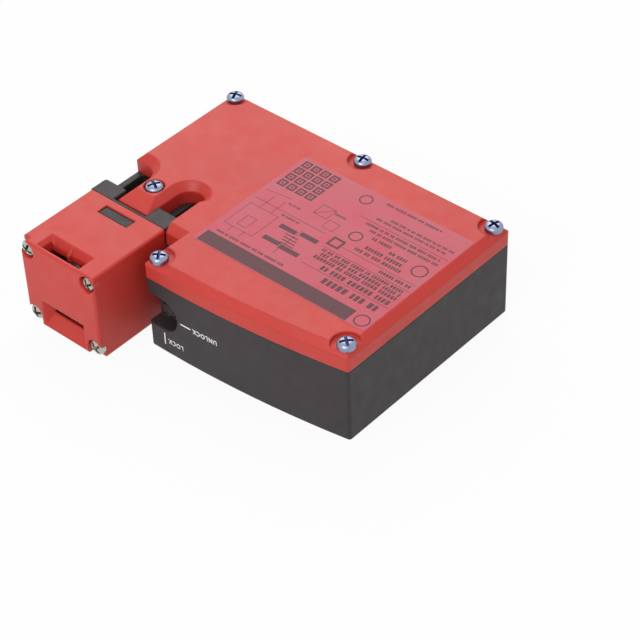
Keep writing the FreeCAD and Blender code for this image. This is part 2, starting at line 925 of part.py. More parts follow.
def make_key_wheel():
    piece = Piece("key_wheel")
    half = s.wheel_width / 2
    piece.pad("x", centre_x - half, centre_x + half, Round(wheel_y, mech, s.wheel_hub / 2))
    rim = Round(wheel_y, mech, s.wheel_radius)
    piece.pad("x", centre_x - half, centre_x - half + s.disc_width, rim)
    piece.pad("x", centre_x + half - s.disc_width, centre_x + half, rim)
    middle_turn = s.cam_turn / 2
    middle_radius = (s.cam_high + s.cam_low) / 2
    cam = [
        on_wheel(s.cam_high, s.cam_dwell),
        Via(*on_wheel(s.cam_high, s.cam_dwell / 2)),
        on_wheel(s.cam_high, as_size(0)),
        Via(*on_wheel(middle_radius, -middle_turn)),
        on_wheel(s.cam_low, -s.cam_turn),
        Via(*on_wheel(s.cam_low, (s.cam_dwell - s.cam_turn) / 2 + 180)),
        on_wheel(s.cam_low, s.cam_dwell),
    ]
    piece.pad("x", centre_x - s.cam_width / 2, centre_x + s.cam_width / 2, cam)
    for angle in (s.top_notch_angle, s.front_notch_angle):
        piece.cut("x", centre_x - half, centre_x + half, key_notch(angle))
    hub = s.wheel_hub / 2
    rib = [
        on_wheel(hub, s.rib_start),
        on_wheel(s.rib_radius, s.rib_start),
        Via(*on_wheel(s.rib_radius, (s.rib_start + s.rib_stop) / 2)),
        on_wheel(s.rib_radius, s.rib_stop),
        on_wheel(hub, s.rib_stop),
        Via(*on_wheel(hub, (s.rib_start + s.rib_stop) / 2)),
    ]
    piece.pad("x", centre_x - s.rib_width / 2, centre_x + s.rib_width / 2, rib)
    bore = Round(wheel_y, mech, s.axle_diameter / 2 + s.running_gap)
    piece.cut("x", centre_x - half, centre_x + half, bore)


def make_plunger():
    tip = wheel_v - s.cam_high - s.cam_clearance
    rod = s.rod_diameter / 2
    collar = s.collar_diameter / 2
    stem = s.stem_diameter / 2
    collar_front = bolt_front + s.collar_length
    dome = s.tip_radius * DIAGONAL
    piece = Piece("plunger")
    piece.turn("y", (centre_x, mech), [
        (y_at(tip), 0),
        Via(y_at(tip - s.tip_radius) - dome, dome),
        (y_at(tip - s.tip_radius), s.tip_radius),
        (y_at(tip - s.tip_length), rod),
        (y_at(collar_front), rod),
        (y_at(collar_front), collar),
        (y_at(bolt_front), collar),
        (y_at(bolt_front - collar + stem), stem),
        (y_at(block_front + s.moving_gap), stem),
        (y_at(block_front + s.moving_gap), 0),
    ])


# Contact block behind the plunger
block_low = s.floor_wall
block_high = block_low + s.block_height
block_left = centre_x - s.block_width / 2
block_right = centre_x + s.block_width / 2
tray_back = block_back + s.block_wall
tray_front = block_front - s.block_wall
slider_front = tray_front - s.sliding_gap - travel
slider_back = slider_front - s.carrier_length
slider_half = s.bridge_pitch + s.bridge_tall / 2 + s.carrier_margin
bridge_v = (slider_front + slider_back) / 2
bridge_levels = [mech - s.bridge_pitch, mech, mech + s.bridge_pitch]


def bridge_section(level):
    """Where one contact bridge crosses the slider, in v and height."""
    half = s.bridge_thick / 2
    ends_y = (y_at(bridge_v + half), y_at(bridge_v - half))
    return ends_y, (level - s.bridge_tall / 2, level + s.bridge_tall / 2)


def make_contacts():
    piece = Piece("contact_block")
    tray_high = block_high - s.block_lid
    piece.pad("z", block_low, tray_high,
              rectangle(block_left, block_right, y_at(block_front), y_at(block_back)))
    piece.cut("z", block_low + s.block_wall, tray_high, rectangle(
        block_left + s.block_wall, block_right - s.block_wall, y_at(tray_front), y_at(tray_back)
    ))
    nose_hole = Round(centre_x, mech, s.stem_diameter / 2 + s.running_gap)
    piece.cut("y", y_at(tray_front), y_at(block_front), nose_hole)
    lid = Piece("contact_lid")
    lid.pad("z", tray_high, block_high,
            rectangle(block_left, block_right, y_at(block_front), y_at(block_back)))

    slider = Piece("contact_carrier")
    slider.pad("z", mech - slider_half, mech + slider_half, rectangle(
        centre_x - s.carrier_width / 2, centre_x + s.carrier_width / 2,
        y_at(slider_front), y_at(slider_back),
    ))
    slider.pad("y", y_at(slider_front), y_at(block_front),
               Round(centre_x, mech, s.stem_diameter / 2))
    windows = [rectangle(*y_ends, *z_ends)
               for y_ends, z_ends in map(bridge_section, bridge_levels)]
    slider.cut("x", centre_x - s.carrier_width / 2, centre_x + s.carrier_width / 2, *windows)

    bridges = []
    strips = []
    bridge_x = (centre_x - s.bridge_length / 2, centre_x + s.bridge_length / 2)
    for level, opens in zip(bridge_levels, (True, True, False)):
        y_ends, z_ends = bridge_section(level)
        bridges.append(block("bridge", bridge_x, y_ends, z_ends))
        if opens:
            near = y_ends[0] - travel - s.contact_gap
            strip_y = (near - s.bridge_thick, near)
        else:
            near = y_ends[1] + s.contact_gap
            strip_y = (near, near + s.bridge_thick)
        wall_left = block_left + s.block_wall
        wall_right = block_right - s.block_wall
        for strip_x in ((wall_left, wall_left + s.contact_reach),
                        (wall_right - s.contact_reach, wall_right)):
            strips.append(block("strip", strip_x, strip_y, z_ends))
    group("contact_bridges", bridges)
    group("fixed_contacts", strips)


# Lock bolt, release carriage and solenoid along the bolt's axis
bolt_y = y_at(bolt_axis)
nose_x = centre_x + s.collar_diameter / 2 + s.moving_gap
crank_radius = s.bolt_travel * DIAGONAL
crank_offset = s.bolt_travel / 2
pin_x = override_x - crank_offset
pin_z = mech - crank_offset
saddle_left = pin_x - s.saddle_length / 2
saddle_right = pin_x + s.saddle_length / 2
saddle_front = bolt_front + s.saddle_gap + s.saddle_wall
saddle_back = bolt_back - s.saddle_gap - s.saddle_wall
flange_left = saddle_right + s.bolt_travel + s.bolt_clearance
flange_right = flange_left + s.flange_thick
yoke_left = flange_right + s.spring_room
yoke_right = yoke_left + s.yoke_length
armature_radius = s.armature_diameter / 2


def make_lock_bolt():
    bolt_low = mech - s.bolt_tall / 2
    bolt_high = mech + s.bolt_tall / 2
    piece = Piece("lock_bolt")
    section = rectangle(y_at(bolt_front), y_at(bolt_back), bolt_low, bolt_high)
    piece.pad("x", nose_x, flange_right, section)
    flange = rectangle(
        bolt_y - s.flange_width / 2, bolt_y + s.flange_width / 2,
        mech - s.flange_width / 2, bolt_high,
    )
    piece.pad("x", flange_left, flange_right, flange)
    armature = Piece("armature")
    armature.pad("x", flange_right, yoke_left + s.armature_reach,
                 Round(bolt_y, mech, armature_radius))
    guide = Piece("bolt_guide")
    guide_left = x_at(s.guide_from_left)
    guide_right = guide_left + s.guide_length
    outside = rectangle(
        y_at(bolt_front + s.guide_wall), y_at(bolt_back - s.guide_wall),
        s.floor_wall, bolt_high + s.guide_wall,
    )
    opening = rectangle(
        y_at(bolt_front + s.sliding_gap), y_at(bolt_back - s.sliding_gap),
        bolt_low - s.sliding_gap, bolt_high + s.sliding_gap,
    )
    guide.pad("x", guide_left, guide_right, outside, opening)


def make_release_carriage():
    piece = Piece("release_carriage")
    low = s.floor_wall + s.sliding_gap
    bed = mech - s.bolt_tall / 2 - s.moving_gap
    high = mech + s.crank_pin / 2
    profile = [
        (y_at(saddle_back), low),
        (y_at(saddle_front), low),
        (y_at(saddle_front), high),
        (y_at(saddle_front - s.saddle_wall), high),
        (y_at(saddle_front - s.saddle_wall), bed),
        (y_at(saddle_back + s.saddle_wall), bed),
        (y_at(saddle_back + s.saddle_wall), high),
        (y_at(saddle_back), high),
    ]
    piece.pad("x", saddle_left, saddle_right, profile)
    pin_half = s.crank_pin / 2 + s.moving_gap
    lowest = mech - crank_radius - s.crank_pin / 2 - s.moving_gap
    fork = rectangle(pin_x - pin_half, pin_x + pin_half, lowest, high)
    piece.cut("y", y_at(saddle_front), y_at(saddle_front - s.saddle_wall), fork)


def make_solenoid():
    yoke = Piece("solenoid_yoke")
    plate = s.yoke_plate
    low = s.floor_wall
    high = mech + s.coil_diameter / 2 + plate / 2
    profile = [
        (yoke_left, low),
        (yoke_right, low),
        (yoke_right, high),
        (yoke_right - plate, high),
        (yoke_right - plate, low + plate),
        (yoke_left + plate, low + plate),
        (yoke_left + plate, high),
        (yoke_left, high),
    ]
    yoke.pad("y", bolt_y - s.yoke_width / 2, bolt_y + s.yoke_width / 2, profile)
    bore = armature_radius + s.moving_gap
    yoke.cut("x", yoke_left, yoke_left + plate, Round(bolt_y, mech, bore))
    yoke.cut("x", yoke_right - plate, yoke_right, Round(bolt_y, mech, armature_radius))
    core = Piece("solenoid_core")
    core.pad("x", yoke_right - s.core_length, yoke_right, Round(bolt_y, mech, armature_radius))
    left = yoke_left + plate
    right = yoke_right - plate
    tube = bore + s.bobbin_wall
    rim = s.coil_diameter / 2
    bobbin = Piece("solenoid_bobbin")
    bobbin.turn("x", (bolt_y, mech), [
        (left, bore),
        (right, bore),
        (right, rim),
        (right - s.bobbin_flange, rim),
        (right - s.bobbin_flange, tube),
        (left + s.bobbin_flange, tube),
        (left + s.bobbin_flange, rim),
        (left, rim),
    ])
    coil = Piece("solenoid_coil")
    coil.turn("x", (bolt_y, mech), rectangle(
        left + s.bobbin_flange, right - s.bobbin_flange, tube, rim - s.moving_gap
    ))


def spring(label, axis, centre, start, stop, radius):
    """An open compression spring of square wire between two levels along an axis."""
    piece = Piece(label)
    wire = s.wire_size / 2
    low, high = sorted((start, stop), key=lambda end: end.value)
    role, shifts = {
        "x": ("XY_Plane", (0, centre[0], centre[1])),
        "y": ("YZ_Plane", (0, centre[1], centre[0])),
    }[axis]
    section = rectangle(low, low + s.wire_size, radius - wire, radius + wire)
    sketch = piece.sketch(role, shifts, [section])
    coil = piece.body.newObject("PartDesign::AdditiveHelix", "Coil")
    coil.Profile = sketch
    coil.ReferenceAxis = (sketch, ["H_Axis"])
    coil.Mode = "height-turns-angle"
    coil.setExpression("Height", (high - low - s.wire_size).formula)
    coil.setExpression("Turns", s.spring_turns.formula)


def make_springs():
    bolt_radius = armature_radius + s.moving_gap + s.wire_size
    spring("bolt_spring", "x", (bolt_y, mech), flange_right, yoke_left, bolt_radius)
    slider_radius = s.carrier_width / 2 - s.wire_size
    spring("carrier_spring", "y", (centre_x, mech), y_at(slider_back), y_at(tray_back), slider_radius)


def make_override():
    piece = Piece("override_spindle")
    head = s.spindle_head / 2
    shaft = s.spindle_shaft / 2
    crank_back = saddle_front + s.moving_gap
    crank_front = crank_back + s.crank_thick
    piece.pad("y", y_at(spindle_back), y_at(recess_floor), Round(override_x, mech, head))
    piece.pad("y", y_at(crank_back), y_at(spindle_back), Round(override_x, mech, shaft))
    post = s.post_size / 2
    post_top = recess_floor + s.post_height
    piece.pad("y", y_at(recess_floor), y_at(post_top), Round(override_x, mech, post))
    flutes = []
    for n in range(FLUTES):
        angle = math.radians(360 / FLUTES * n)
        flutes.append((override_x + post * math.cos(angle), mech + post * math.sin(angle)))
    piece.cut("y", y_at(recess_floor), y_at(post_top), *circles(flutes, s.flute_radius))
    groove_middle = spindle_back + s.spindle_head_length / 2
    groove_half = s.seal_wire / 2
    groove_floor = head - s.seal_wire
    piece.cut("y", y_at(groove_middle - groove_half), y_at(groove_middle + groove_half),
              *ring(override_x, mech, head + s.moving_gap, groove_floor))
    clip_front = post_back - s.sliding_gap
    clip_back = clip_front - s.clip_thick
    piece.cut("y", y_at(clip_back), y_at(clip_front),
              *ring(override_x, mech, shaft + s.moving_gap, s.clip_groove / 2))
    web = s.crank_pin / 2 + s.moving_gap
    lean = web * DIAGONAL
    arm = [
        (override_x - lean, mech + lean),
        (pin_x - lean, pin_z + lean),
        (pin_x + lean, pin_z - lean),
        (override_x + lean, mech - lean),
    ]
    piece.pad("y", y_at(crank_back), y_at(crank_front), arm)
    piece.pad("y", y_at(crank_back), y_at(crank_front), Round(pin_x, pin_z, web))
    pin_end = saddle_front - s.saddle_wall + s.moving_gap
    piece.pad("y", y_at(pin_end), y_at(crank_back), Round(pin_x, pin_z, s.crank_pin / 2))

    clip = Piece("override_clip")
    clip.pad("y", y_at(clip_back), y_at(clip_front),
             *ring(override_x, mech, s.clip_diameter / 2, s.clip_groove / 2))
    seal = Piece("override_seal")
    seal.pad("y", y_at(groove_middle - groove_half), y_at(groove_middle + groove_half),
             *ring(override_x, mech, head, groove_floor))


def make_terminals():
    right = x_at(s.body_length - s.side_wall - s.terminal_side_gap)
    left = right - s.terminal_pitch * s.terminal_count
    back = bolt_axis + s.yoke_width / 2 + s.terminal_ahead
    front = back + s.terminal_depth
    low = s.floor_wall
    high = low + s.terminal_height
    middle = (back + front) / 2
    cage = s.cage_size / 2
    spots = [left + s.terminal_pitch * (n + 0.5) for n in range(int(s.terminal_count.value))]
    piece = Piece("terminal_block")
    piece.pad("z", low, high, rectangle(left, right, y_at(front), y_at(back)))
    cage_low = low + s.terminal_floor
    cage_high = cage_low + cage * 2
    pockets = [rectangle(x - cage, x + cage, cage_low, cage_high) for x in spots]
    piece.cut("y", y_at(front), y_at(middle - cage), *pockets)
    wells = [Round(x, y_at(middle), s.terminal_head / 2 + s.sliding_gap) for x in spots]
    piece.cut("z", cage_high, high, *wells)
    clamps = []
    screws = []
    screw_level = high - s.terminal_head_height - s.terminal_sink
    for x in spots:
        clamp = Piece("clamp", listed=False)
        clamp.pad("y", y_at(middle + cage), y_at(middle - cage),
                  rectangle(x - cage, x + cage, cage_low, cage_high),
                  Round(x, (cage_low + cage_high) / 2, s.cage_bore / 2))
        clamps.append(clamp.body)
        screws.append(pan_screw(
            "z", (x, y_at(middle)), screw_level, 1, s.terminal_screw, s.terminal_head,
            s.terminal_head_height, screw_level - cage_high,
        ))
    group("terminal_clamps", clamps)
    group("terminal_screws", screws)


def check_document():
    for item in doc.Objects:
        if "Invalid" in item.State or "Error" in item.State:
            raise RuntimeError(f"{item.Label} ({item.TypeId}) is {item.State}")
        if item.TypeId == "PartDesign::Pocket":
            if item.Shape.Volume > item.BaseFeature.Shape.Volume - CLOSE:
                raise RuntimeError(f"{item.Label} cuts nothing")
    for piece in SUBPARTS:
        if piece.Shape.isNull() or not piece.Shape.isValid():
            raise RuntimeError(f"{piece.Label} has no valid shape")


make_base_housing()
make_cover()
make_cover_gasket()
make_cover_screws()
make_head_shell()
make_head_screws()
make_seals()
make_wheel_carrier()
make_key_wheel()
make_plunger()
make_contacts()
make_lock_bolt()
make_release_carriage()
make_solenoid()
make_springs()
make_override()
make_terminals()
doc.recompute()
check_document()
os.makedirs("parts", exist_ok=True)
for piece in SUBPARTS:
    piece.Shape.exportStep(f"parts/{piece.Label}.step")
    print(piece.Label, len(piece.Shape.Solids), round(piece.Shape.Volume, 2))
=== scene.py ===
"""Finishes, fine detail and studio for a key-operated guard-locking safety switch."""

import math
import random

import bmesh
import bpy
from bpy.props import FloatProperty, FloatVectorProperty, PointerProperty
from mathutils import Matrix, Vector


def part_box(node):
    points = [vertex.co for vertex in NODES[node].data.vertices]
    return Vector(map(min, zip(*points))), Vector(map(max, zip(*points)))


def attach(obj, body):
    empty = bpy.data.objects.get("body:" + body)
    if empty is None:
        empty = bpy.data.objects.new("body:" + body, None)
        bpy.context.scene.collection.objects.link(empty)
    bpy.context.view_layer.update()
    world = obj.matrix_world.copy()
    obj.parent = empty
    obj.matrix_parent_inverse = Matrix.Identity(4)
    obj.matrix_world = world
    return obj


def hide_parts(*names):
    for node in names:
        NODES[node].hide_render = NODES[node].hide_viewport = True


bl_info = {
    "name": "Guard Lock Switch",
    "version": (1, 0, 0),
    "blender": (4, 5, 0),
    "location": "View3D > Sidebar > Switch",
    "description": "Dresses the guard-locking safety switch and sets its studio",
    "category": "Object",
}

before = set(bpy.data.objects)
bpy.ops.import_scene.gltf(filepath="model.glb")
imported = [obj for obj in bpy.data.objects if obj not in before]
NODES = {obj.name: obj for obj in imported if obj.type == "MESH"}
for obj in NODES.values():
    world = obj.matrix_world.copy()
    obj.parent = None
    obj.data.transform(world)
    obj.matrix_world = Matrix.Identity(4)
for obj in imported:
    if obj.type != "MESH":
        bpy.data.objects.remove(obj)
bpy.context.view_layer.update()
MM = 0.001
WELD = 0.001 * MM

COVER_LOW, COVER_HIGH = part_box("cover")
BASE_LOW, BASE_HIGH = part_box("base_housing")
SPINDLE_LOW, SPINDLE_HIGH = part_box("override_spindle")


def linear(red, green, blue):
    """Turns screen values from 0 to 255 into the linear colour that shaders take."""
    shares = (red / 255, green / 255, blue / 255)
    return tuple(c / 12.92 if c <= 0.04045 else ((c + 0.055) / 1.055) ** 2.4 for c in shares)


def colour(name, description, red, green, blue):
    return FloatVectorProperty(
        name=name, description=description, subtype="COLOR", size=3, min=0, max=1,
        default=linear(red, green, blue),
    )


def length(name, description, millimetres):
    return FloatProperty(
        name=name, description=description, default=millimetres * MM, unit="LENGTH", precision=5
    )


def angle(name, description, degrees):
    return FloatProperty(
        name=name, description=description, default=math.radians(degrees), subtype="ANGLE"
    )


def share(name, description, default):
    return FloatProperty(name=name, description=description, default=default, subtype="FACTOR")


class SwitchFinishes(bpy.types.PropertyGroup):
    """Colours and grain of the switch's materials."""

    red: colour("Red plastic", "Moulded cover and key head", 201, 57, 48)
    dark: colour("Dark plastic", "Moulded base and wheel carrier", 52, 46, 48)
    pale: colour("Pale plastic", "Contact block, bobbin and terminals", 214, 208, 190)
    rubber: colour("Rubber", "Gaskets and seals", 34, 34, 35)
    zinc: colour("Bright zinc", "Cover screws", 150, 158, 182)
    # Painted shade: a darker copy of the zinc that colours the cover screws' cross recesses
    zinc_shade: colour("Shaded zinc", "Cross recesses of the cover screws", 84, 94, 140)
    nickel: colour("Nickel", "Screws of the key head", 196, 192, 183)
    steel: colour("Steel", "Turned and pressed steel", 176, 176, 174)
    cast: colour("Die-cast zinc", "Key wheel and release carriage", 205, 200, 198)
    brass: colour("Brass", "Contacts and clamps", 205, 170, 96)
    copper: colour("Copper", "Solenoid winding", 196, 112, 66)
    film: colour("Label film", "Frosted film on the cover", 190, 60, 80)
    ink: colour("Label ink", "Print on the film", 80, 24, 36)
    paint: colour("White paint", "Position marks beside the override", 246, 246, 244)
    grain: length("Moulding grain", "Size of the fine grain of moulded plastic", 0.22)
    soft_edge: length("Soft edge", "Radius that light sees on moulded edges", 0.9)


class SwitchScrews(bpy.types.PropertyGroup):
    """Shape of the screw heads and their cross recess."""

    height: share("Head height", "Height of the head as a share of its radius", 0.78)
    rim: share("Rim", "Height of the straight rim as a share of the head's height", 0.4)
    arm_reach: share("Arm reach", "Span of the cross as a share of the head", 0.74)
    arm_width: share("Arm width", "Width of one arm as a share of the head", 0.17)
    depth: share("Recess depth", "Depth of the recess as a share of the head's height", 0.75)


class SwitchHead(bpy.types.PropertyGroup):
    """Small cuts in the key head, from its front face, and the rim beside its upper right screw."""

    corner_width: length("Corner width", "Width of the relief at the upper left screw", 2.7)
    corner_height: length("Corner height", "Height of the relief at the upper left screw", 3.4)
    corner_depth: length("Corner depth", "Depth of the relief", 2.2)
    gap_width: length("Gap width", "Width of the gap behind the front slot's slope", 14.2)
    gap_start: length("Gap start", "Depth at which the gap starts", 3.12)
    gap_end: length("Gap end", "Depth at which the gap ends", 5.9)
    gap_low: length("Gap floor", "Height of the gap's floor above the mounting face", 2.5)
    gap_high: length("Gap top", "Height of the gap's mouth above the mounting face", 5.7)
    edge: length("Edge radius", "Radius of the head's outer edges", 0.8)
    screw_trim: length("Screw trim", "Cut off the screw head's radius, to leave a rim", 0.25)
    rim_reach: length("Rim reach", "Height of the rim above and below its screw", 2.6)
    rim_bore: length("Rim bore", "Radius of the recess inside the rim", 2.58)
    seat: length("Seat", "Depth of the screws' seats", 2.2)
    slit_inner: length("Slit inside", "Where the top slot's widening starts from its middle", 6.4)
    slit_outer: length("Slit outside", "Where the top slot's widening ends from its middle", 7.75)
    slit_front: length("Slit front", "Depth at which the top slot starts", 1.21)
    slit_back: length("Slit back", "Depth at which the top slot ends", 5.89)
    slit_low: length("Slit floor", "Height of the widening's floor above the mounting face", 18.0)


class SwitchCover(bpy.types.PropertyGroup):
    """Slope of the cover's tab and the fading chamfer of its right notch."""

    chamfer: length("Chamfer", "Size of the cover's chamfer", 2.4)
    tab_gap: length("Tab gap", "Gap between the tab's end and the head", 2.1)
    tab_slope: length("Tab slope", "Length of the slope at the tab's end", 6.0)
    tab_half: length("Tab reach", "Reach of the slope to each side of the tab's middle", 7.0)
    notch_radius: length("Notch radius", "Radius of the notch's round end", 4.9)
    notch_side: length("Notch side", "Distance of the right notch from the tab's middle", 11.0)
    notch_back: length("Notch back", "Distance of the notch's round end from the head", 14.9)
    fade: angle("Fade", "Angle over which the notch's chamfer fades in", 55)
    sink: length("Sink", "Depth of the filling's foot in the cover", 0.1)


class SwitchThreads(bpy.types.PropertyGroup):
    """Threads in the two cable entries of the back wall."""

    across: length("Middle", "Middle of the left entry from the body's left side", 38.0)
    spacing: length("Spacing", "Distance between the two entries", 40.0)
    level: length("Level", "Height of the entries above the mounting face", 13.2)
    radius: length("Radius", "Radius of the entries' plain wall", 7.25)
    pitch: length("Pitch", "Rise of the thread in one turn", 1.5)
    ridge: length("Ridge", "Height of the thread above the wall", 0.4)
    run: length("Run", "Length of the thread", 8.4)
    lead_in: length("Lead-in", "Depth at which the thread starts", 0.5)
    bite: length("Bite", "Depth of the ridge's foot in the wall", 0.1)
    flank: share("Flank", "Half of the ridge's foot as a share of the pitch", 0.4)


class SwitchLabel(bpy.types.PropertyGroup):
    """Places of the label film, from the cover's left and back edges."""

    left: length("Left edge", "Film's left edge from the body's left side", 41.6)
    right: length("Right edge", "Film's right edge from the body's left side", 107.3)
    back: length("Back edge", "Film's back edge from the body's back", 13.0)
    front: length("Front edge", "Film's front edge from the body's back", 63.0)
    corner: length("Corner radius", "Rounding of the film's corners", 0.8)
    thick: length("Thickness", "Thickness of the film", 0.08)
    ink_thick: length("Ink thickness", "Height of the print above the film", 0.015)
    sink: length("Film sink", "Depth of the film's foot in the cover", 0.01)
    ink_sink: length("Ink sink", "Depth of the print's foot in the film", 0.005)
    edge: share("Edge", "Bevel of the film's edge as a share of its thickness", 0.4)


class SwitchMarks(bpy.types.PropertyGroup):
    """Position marks painted on the front wall beside the override."""

    post: length("Post", "Override's middle from the body's left side", 43.1)
    side_start: length("Side line start", "Start of the lying line from the override's middle", 7.1)
    side_end: length("Side line end", "End of the lying line from the override's middle", 11.1)
    side_word: length("Side word", "Middle of the upper word from the override's middle", 16.5)
    side_drop: length("Side word drop", "Drop of the upper word below the override's middle", 0.1)
    foot_start: length("Lower line foot", "Foot of the upright line above the mounting face", 3.0)
    foot_end: length("Lower line top", "Top of the upright line above the mounting face", 7.4)
    foot_word: length("Lower word", "Middle of the lower word from the override's middle", 4.4)
    foot_level: length("Lower word level", "Height of the lower word above the mounting face", 5.0)
    cap_height: length("Cap height", "Height of the capital letters", 1.68)
    bold: length("Boldness", "Growth of the letters' strokes on each side", 0.08)
    narrow: share("Letter width", "Width of the letters as a share of the font's", 0.84)
    spacing: FloatProperty(name="Spacing", description="Space between letters", default=1.2)
    line_width: length("Line width", "Width of the index lines", 0.5)
    thick: length("Thickness", "Height of the paint above the wall", 0.02)


class SwitchStage(bpy.types.PropertyGroup):
    """Camera and light of the studio."""

    azimuth: angle("Azimuth", "Camera's turn about the vertical", 42.75)
    elevation: angle("Elevation", "Camera's angle above the floor", 41.37)
    roll: angle("Roll", "Camera's turn about its own axis", -2.26)
    distance: length("Distance", "Camera's distance from its aim", 637.5)
    lens: FloatProperty(
        name="Lens", description="Focal length on a 36 mm sensor", default=119.94, unit="CAMERA"
    )
    aim: FloatVectorProperty(
        name="Aim", description="Point in the middle of the picture", subtype="TRANSLATION",
        default=(0.01773, 0.00407, 0.00444),
    )
    sky: share("Sky", "Strength of the light from all round", 0.55)
    floor_reach: length("Floor reach", "Reach of the floor from the middle", 6000.0)
    floor_drop: length("Floor drop", "Gap between the floor and the mounting face", 0.05)
    floor_tone: share("Floor tone", "Reflectance of the floor", 0.9)
    floor_lift: share("Floor lift", "Share of plain white that the camera sees in the floor", 0.92)


# Material building

class Finish:
    """A node material while it is being put together."""

    def __init__(self, name):
        self.material = bpy.data.materials.new(name)
        self.material.use_nodes = True
        self.tree = self.material.node_tree
        self.shader = self.tree.nodes["Principled BSDF"]
        self.place = self.add("ShaderNodeTexCoord").outputs["Object"]

    def add(self, kind, **settings):
        node = self.tree.nodes.new(kind)
        for key, value in settings.items():
            setattr(node, key, value)
        return node

    def link(self, start, end):
        self.tree.links.new(start, end)

    def set(self, **values):
        for name, value in values.items():
            self.shader.inputs[name.replace("_", " ")].default_value = value

    def noise(self, size, detail=3.0, stretch=(1, 1, 1)):
        """Noise with features of about the given size, drawn out along an axis if asked."""
        scale = self.add("ShaderNodeMapping")
        scale.inputs["Scale"].default_value = stretch
        self.link(self.place, scale.inputs["Vector"])
        node = self.add("ShaderNodeTexNoise")
        node.inputs["Scale"].default_value = 1 / size
        node.inputs["Detail"].default_value = detail
        self.link(scale.outputs["Vector"], node.inputs["Vector"])
        return node.outputs["Fac"]

    def between(self, value, low, high, start=0.3, stop=0.7):
        node = self.add("ShaderNodeMapRange")
        for name, number in (("From Min", start), ("From Max", stop), ("To Min", low), ("To Max", high)):
            node.inputs[name].default_value = number
        self.link(value, node.inputs["Value"])
        return node.outputs["Result"]

    def blend(self, amount, first, second):
        """Mixes two colours, or a linked colour and a plain one, by an amount."""
        node = self.add("ShaderNodeMix", data_type="RGBA")
        self.link(amount, node.inputs["Factor"])
        for socket, item in ((node.inputs[6], first), (node.inputs[7], second)):
            if isinstance(item, bpy.types.NodeSocket):
                self.link(item, socket)
            else:
                socket.default_value = (*item, 1)
        return node.outputs[2]

    def bump(self, height, depth, strength=1.0, under=None):
        node = self.add("ShaderNodeBump")
        node.inputs["Strength"].default_value = strength
        node.inputs["Distance"].default_value = depth
        self.link(height, node.inputs["Height"])
        if under:
            self.link(under, node.inputs["Normal"])
        return node.outputs["Normal"]

    def into(self, **sockets):
        for name, socket in sockets.items():
            self.link(socket, self.shader.inputs[name.replace("_", " ")])


def shade(tone, factor):
    return tuple(min(1, channel * factor) for channel in tone)


def toward(tone, other, amount):
    return tuple(a + (b - a) * amount for a, b in zip(tone, other))


WHITE = (1, 1, 1)

# Sizes of the marks in the finishes, and how deep they are
FLOW_SIZE = 28 * MM
PATCH_SIZE = 5 * MM
GRAIN_DEPTH = 0.012 * MM
MARK_SIZE = 0.35 * MM
MARK_DEPTH = 0.006 * MM
DULL_SIZE = 2.2 * MM
BLOOM_SIZE = 1.8 * MM
BLOOM_DEPTH = 0.02 * MM
WIRE_PITCH = 0.6 * MM
WIRE_DEPTH = 0.08 * MM
ENAMEL_SIZE = 0.4 * MM
HAZE_SIZE = 9 * MM
HAZE_DEPTH = 0.03 * MM
# Size of the painted glints on the label film
LIFT_GLINT_SIZE = 4 * MM
INK_PATCH_SIZE = 0.5 * MM
INK_PATCH_DEPTH = 0.01 * MM


def moulded(name, tone, roughness, variation=0.06, gloss=0.5):
    """Satin moulded plastic with soft edges, slow flow marks, small patches and a fine grain."""
    look = bpy.context.scene.switch_finishes
    finish = Finish(name)
    edges = finish.add("ShaderNodeBevel", samples=8)
    edges.inputs["Radius"].default_value = look.soft_edge
    flow = finish.noise(FLOW_SIZE, 4)
    patch = finish.noise(PATCH_SIZE, 5)
    speck = finish.noise(look.grain, 2)
    base = finish.blend(finish.between(flow, 0, 1), shade(tone, 1 - variation), shade(tone, 1 + variation))
    base = finish.blend(finish.between(patch, 0, 0.35), base, shade(tone, 1 + variation))
    base = finish.blend(finish.between(speck, 0, 0.25, 0.45, 0.8), base, shade(tone, 0.8))
    coarse = finish.bump(patch, GRAIN_DEPTH * 1.5, 0.35, edges.outputs["Normal"])
    finish.set(Specular_IOR_Level=gloss)
    finish.into(
        Base_Color=base,
        Roughness=finish.between(patch, roughness - 0.05, roughness + 0.06),
        Normal=finish.bump(speck, GRAIN_DEPTH, 0.5, coarse),
    )
    return finish.material


def metal(name, tone, roughness, stretch=(1, 1, 1), dull=0.82):
    """Plated, turned or pressed metal with fine marks and dull patches."""
    finish = Finish(name)
    marks = finish.noise(MARK_SIZE, 3, stretch)
    patch = finish.noise(DULL_SIZE, 4)
    base = finish.blend(finish.between(patch, 0, 1), shade(tone, dull), tone)
    finish.set(Metallic=1.0)
    finish.into(
        Base_Color=base,
        Roughness=finish.between(marks, roughness - 0.08, roughness + 0.1),
        Normal=finish.bump(marks, MARK_DEPTH, 0.4),
    )
    return finish.material


def rubbery(name, tone):
    """Dull rubber with a faint pale bloom."""
    finish = Finish(name)
    bloom = finish.noise(BLOOM_SIZE, 5)
    base = finish.blend(finish.between(bloom, 0, 0.3), tone, toward(tone, WHITE, 0.12))
    finish.into(
        Base_Color=base,
        Roughness=finish.between(bloom, 0.62, 0.8),
        Normal=finish.bump(bloom, BLOOM_DEPTH, 0.3),
    )
    return finish.material


def wound(name, tone):
    """Enamelled wire laid in close turns about the solenoid's axis."""
    finish = Finish(name)
    turns = finish.add("ShaderNodeTexWave", bands_direction="X")
    turns.inputs["Scale"].default_value = 1 / WIRE_PITCH
    finish.link(finish.place, turns.inputs["Vector"])
    # Painted shade: the grooves between the turns are coloured darker than the wire
    groove = turns.outputs["Fac"]
    finish.set(Metallic=0.85, Coat_Weight=0.5, Coat_Roughness=0.2)
    finish.into(
        Base_Color=finish.blend(groove, shade(tone, 0.45), tone),
        Roughness=finish.between(finish.noise(ENAMEL_SIZE), 0.28, 0.4),
        Normal=finish.bump(groove, WIRE_DEPTH, 0.6),
    )
    return finish.material


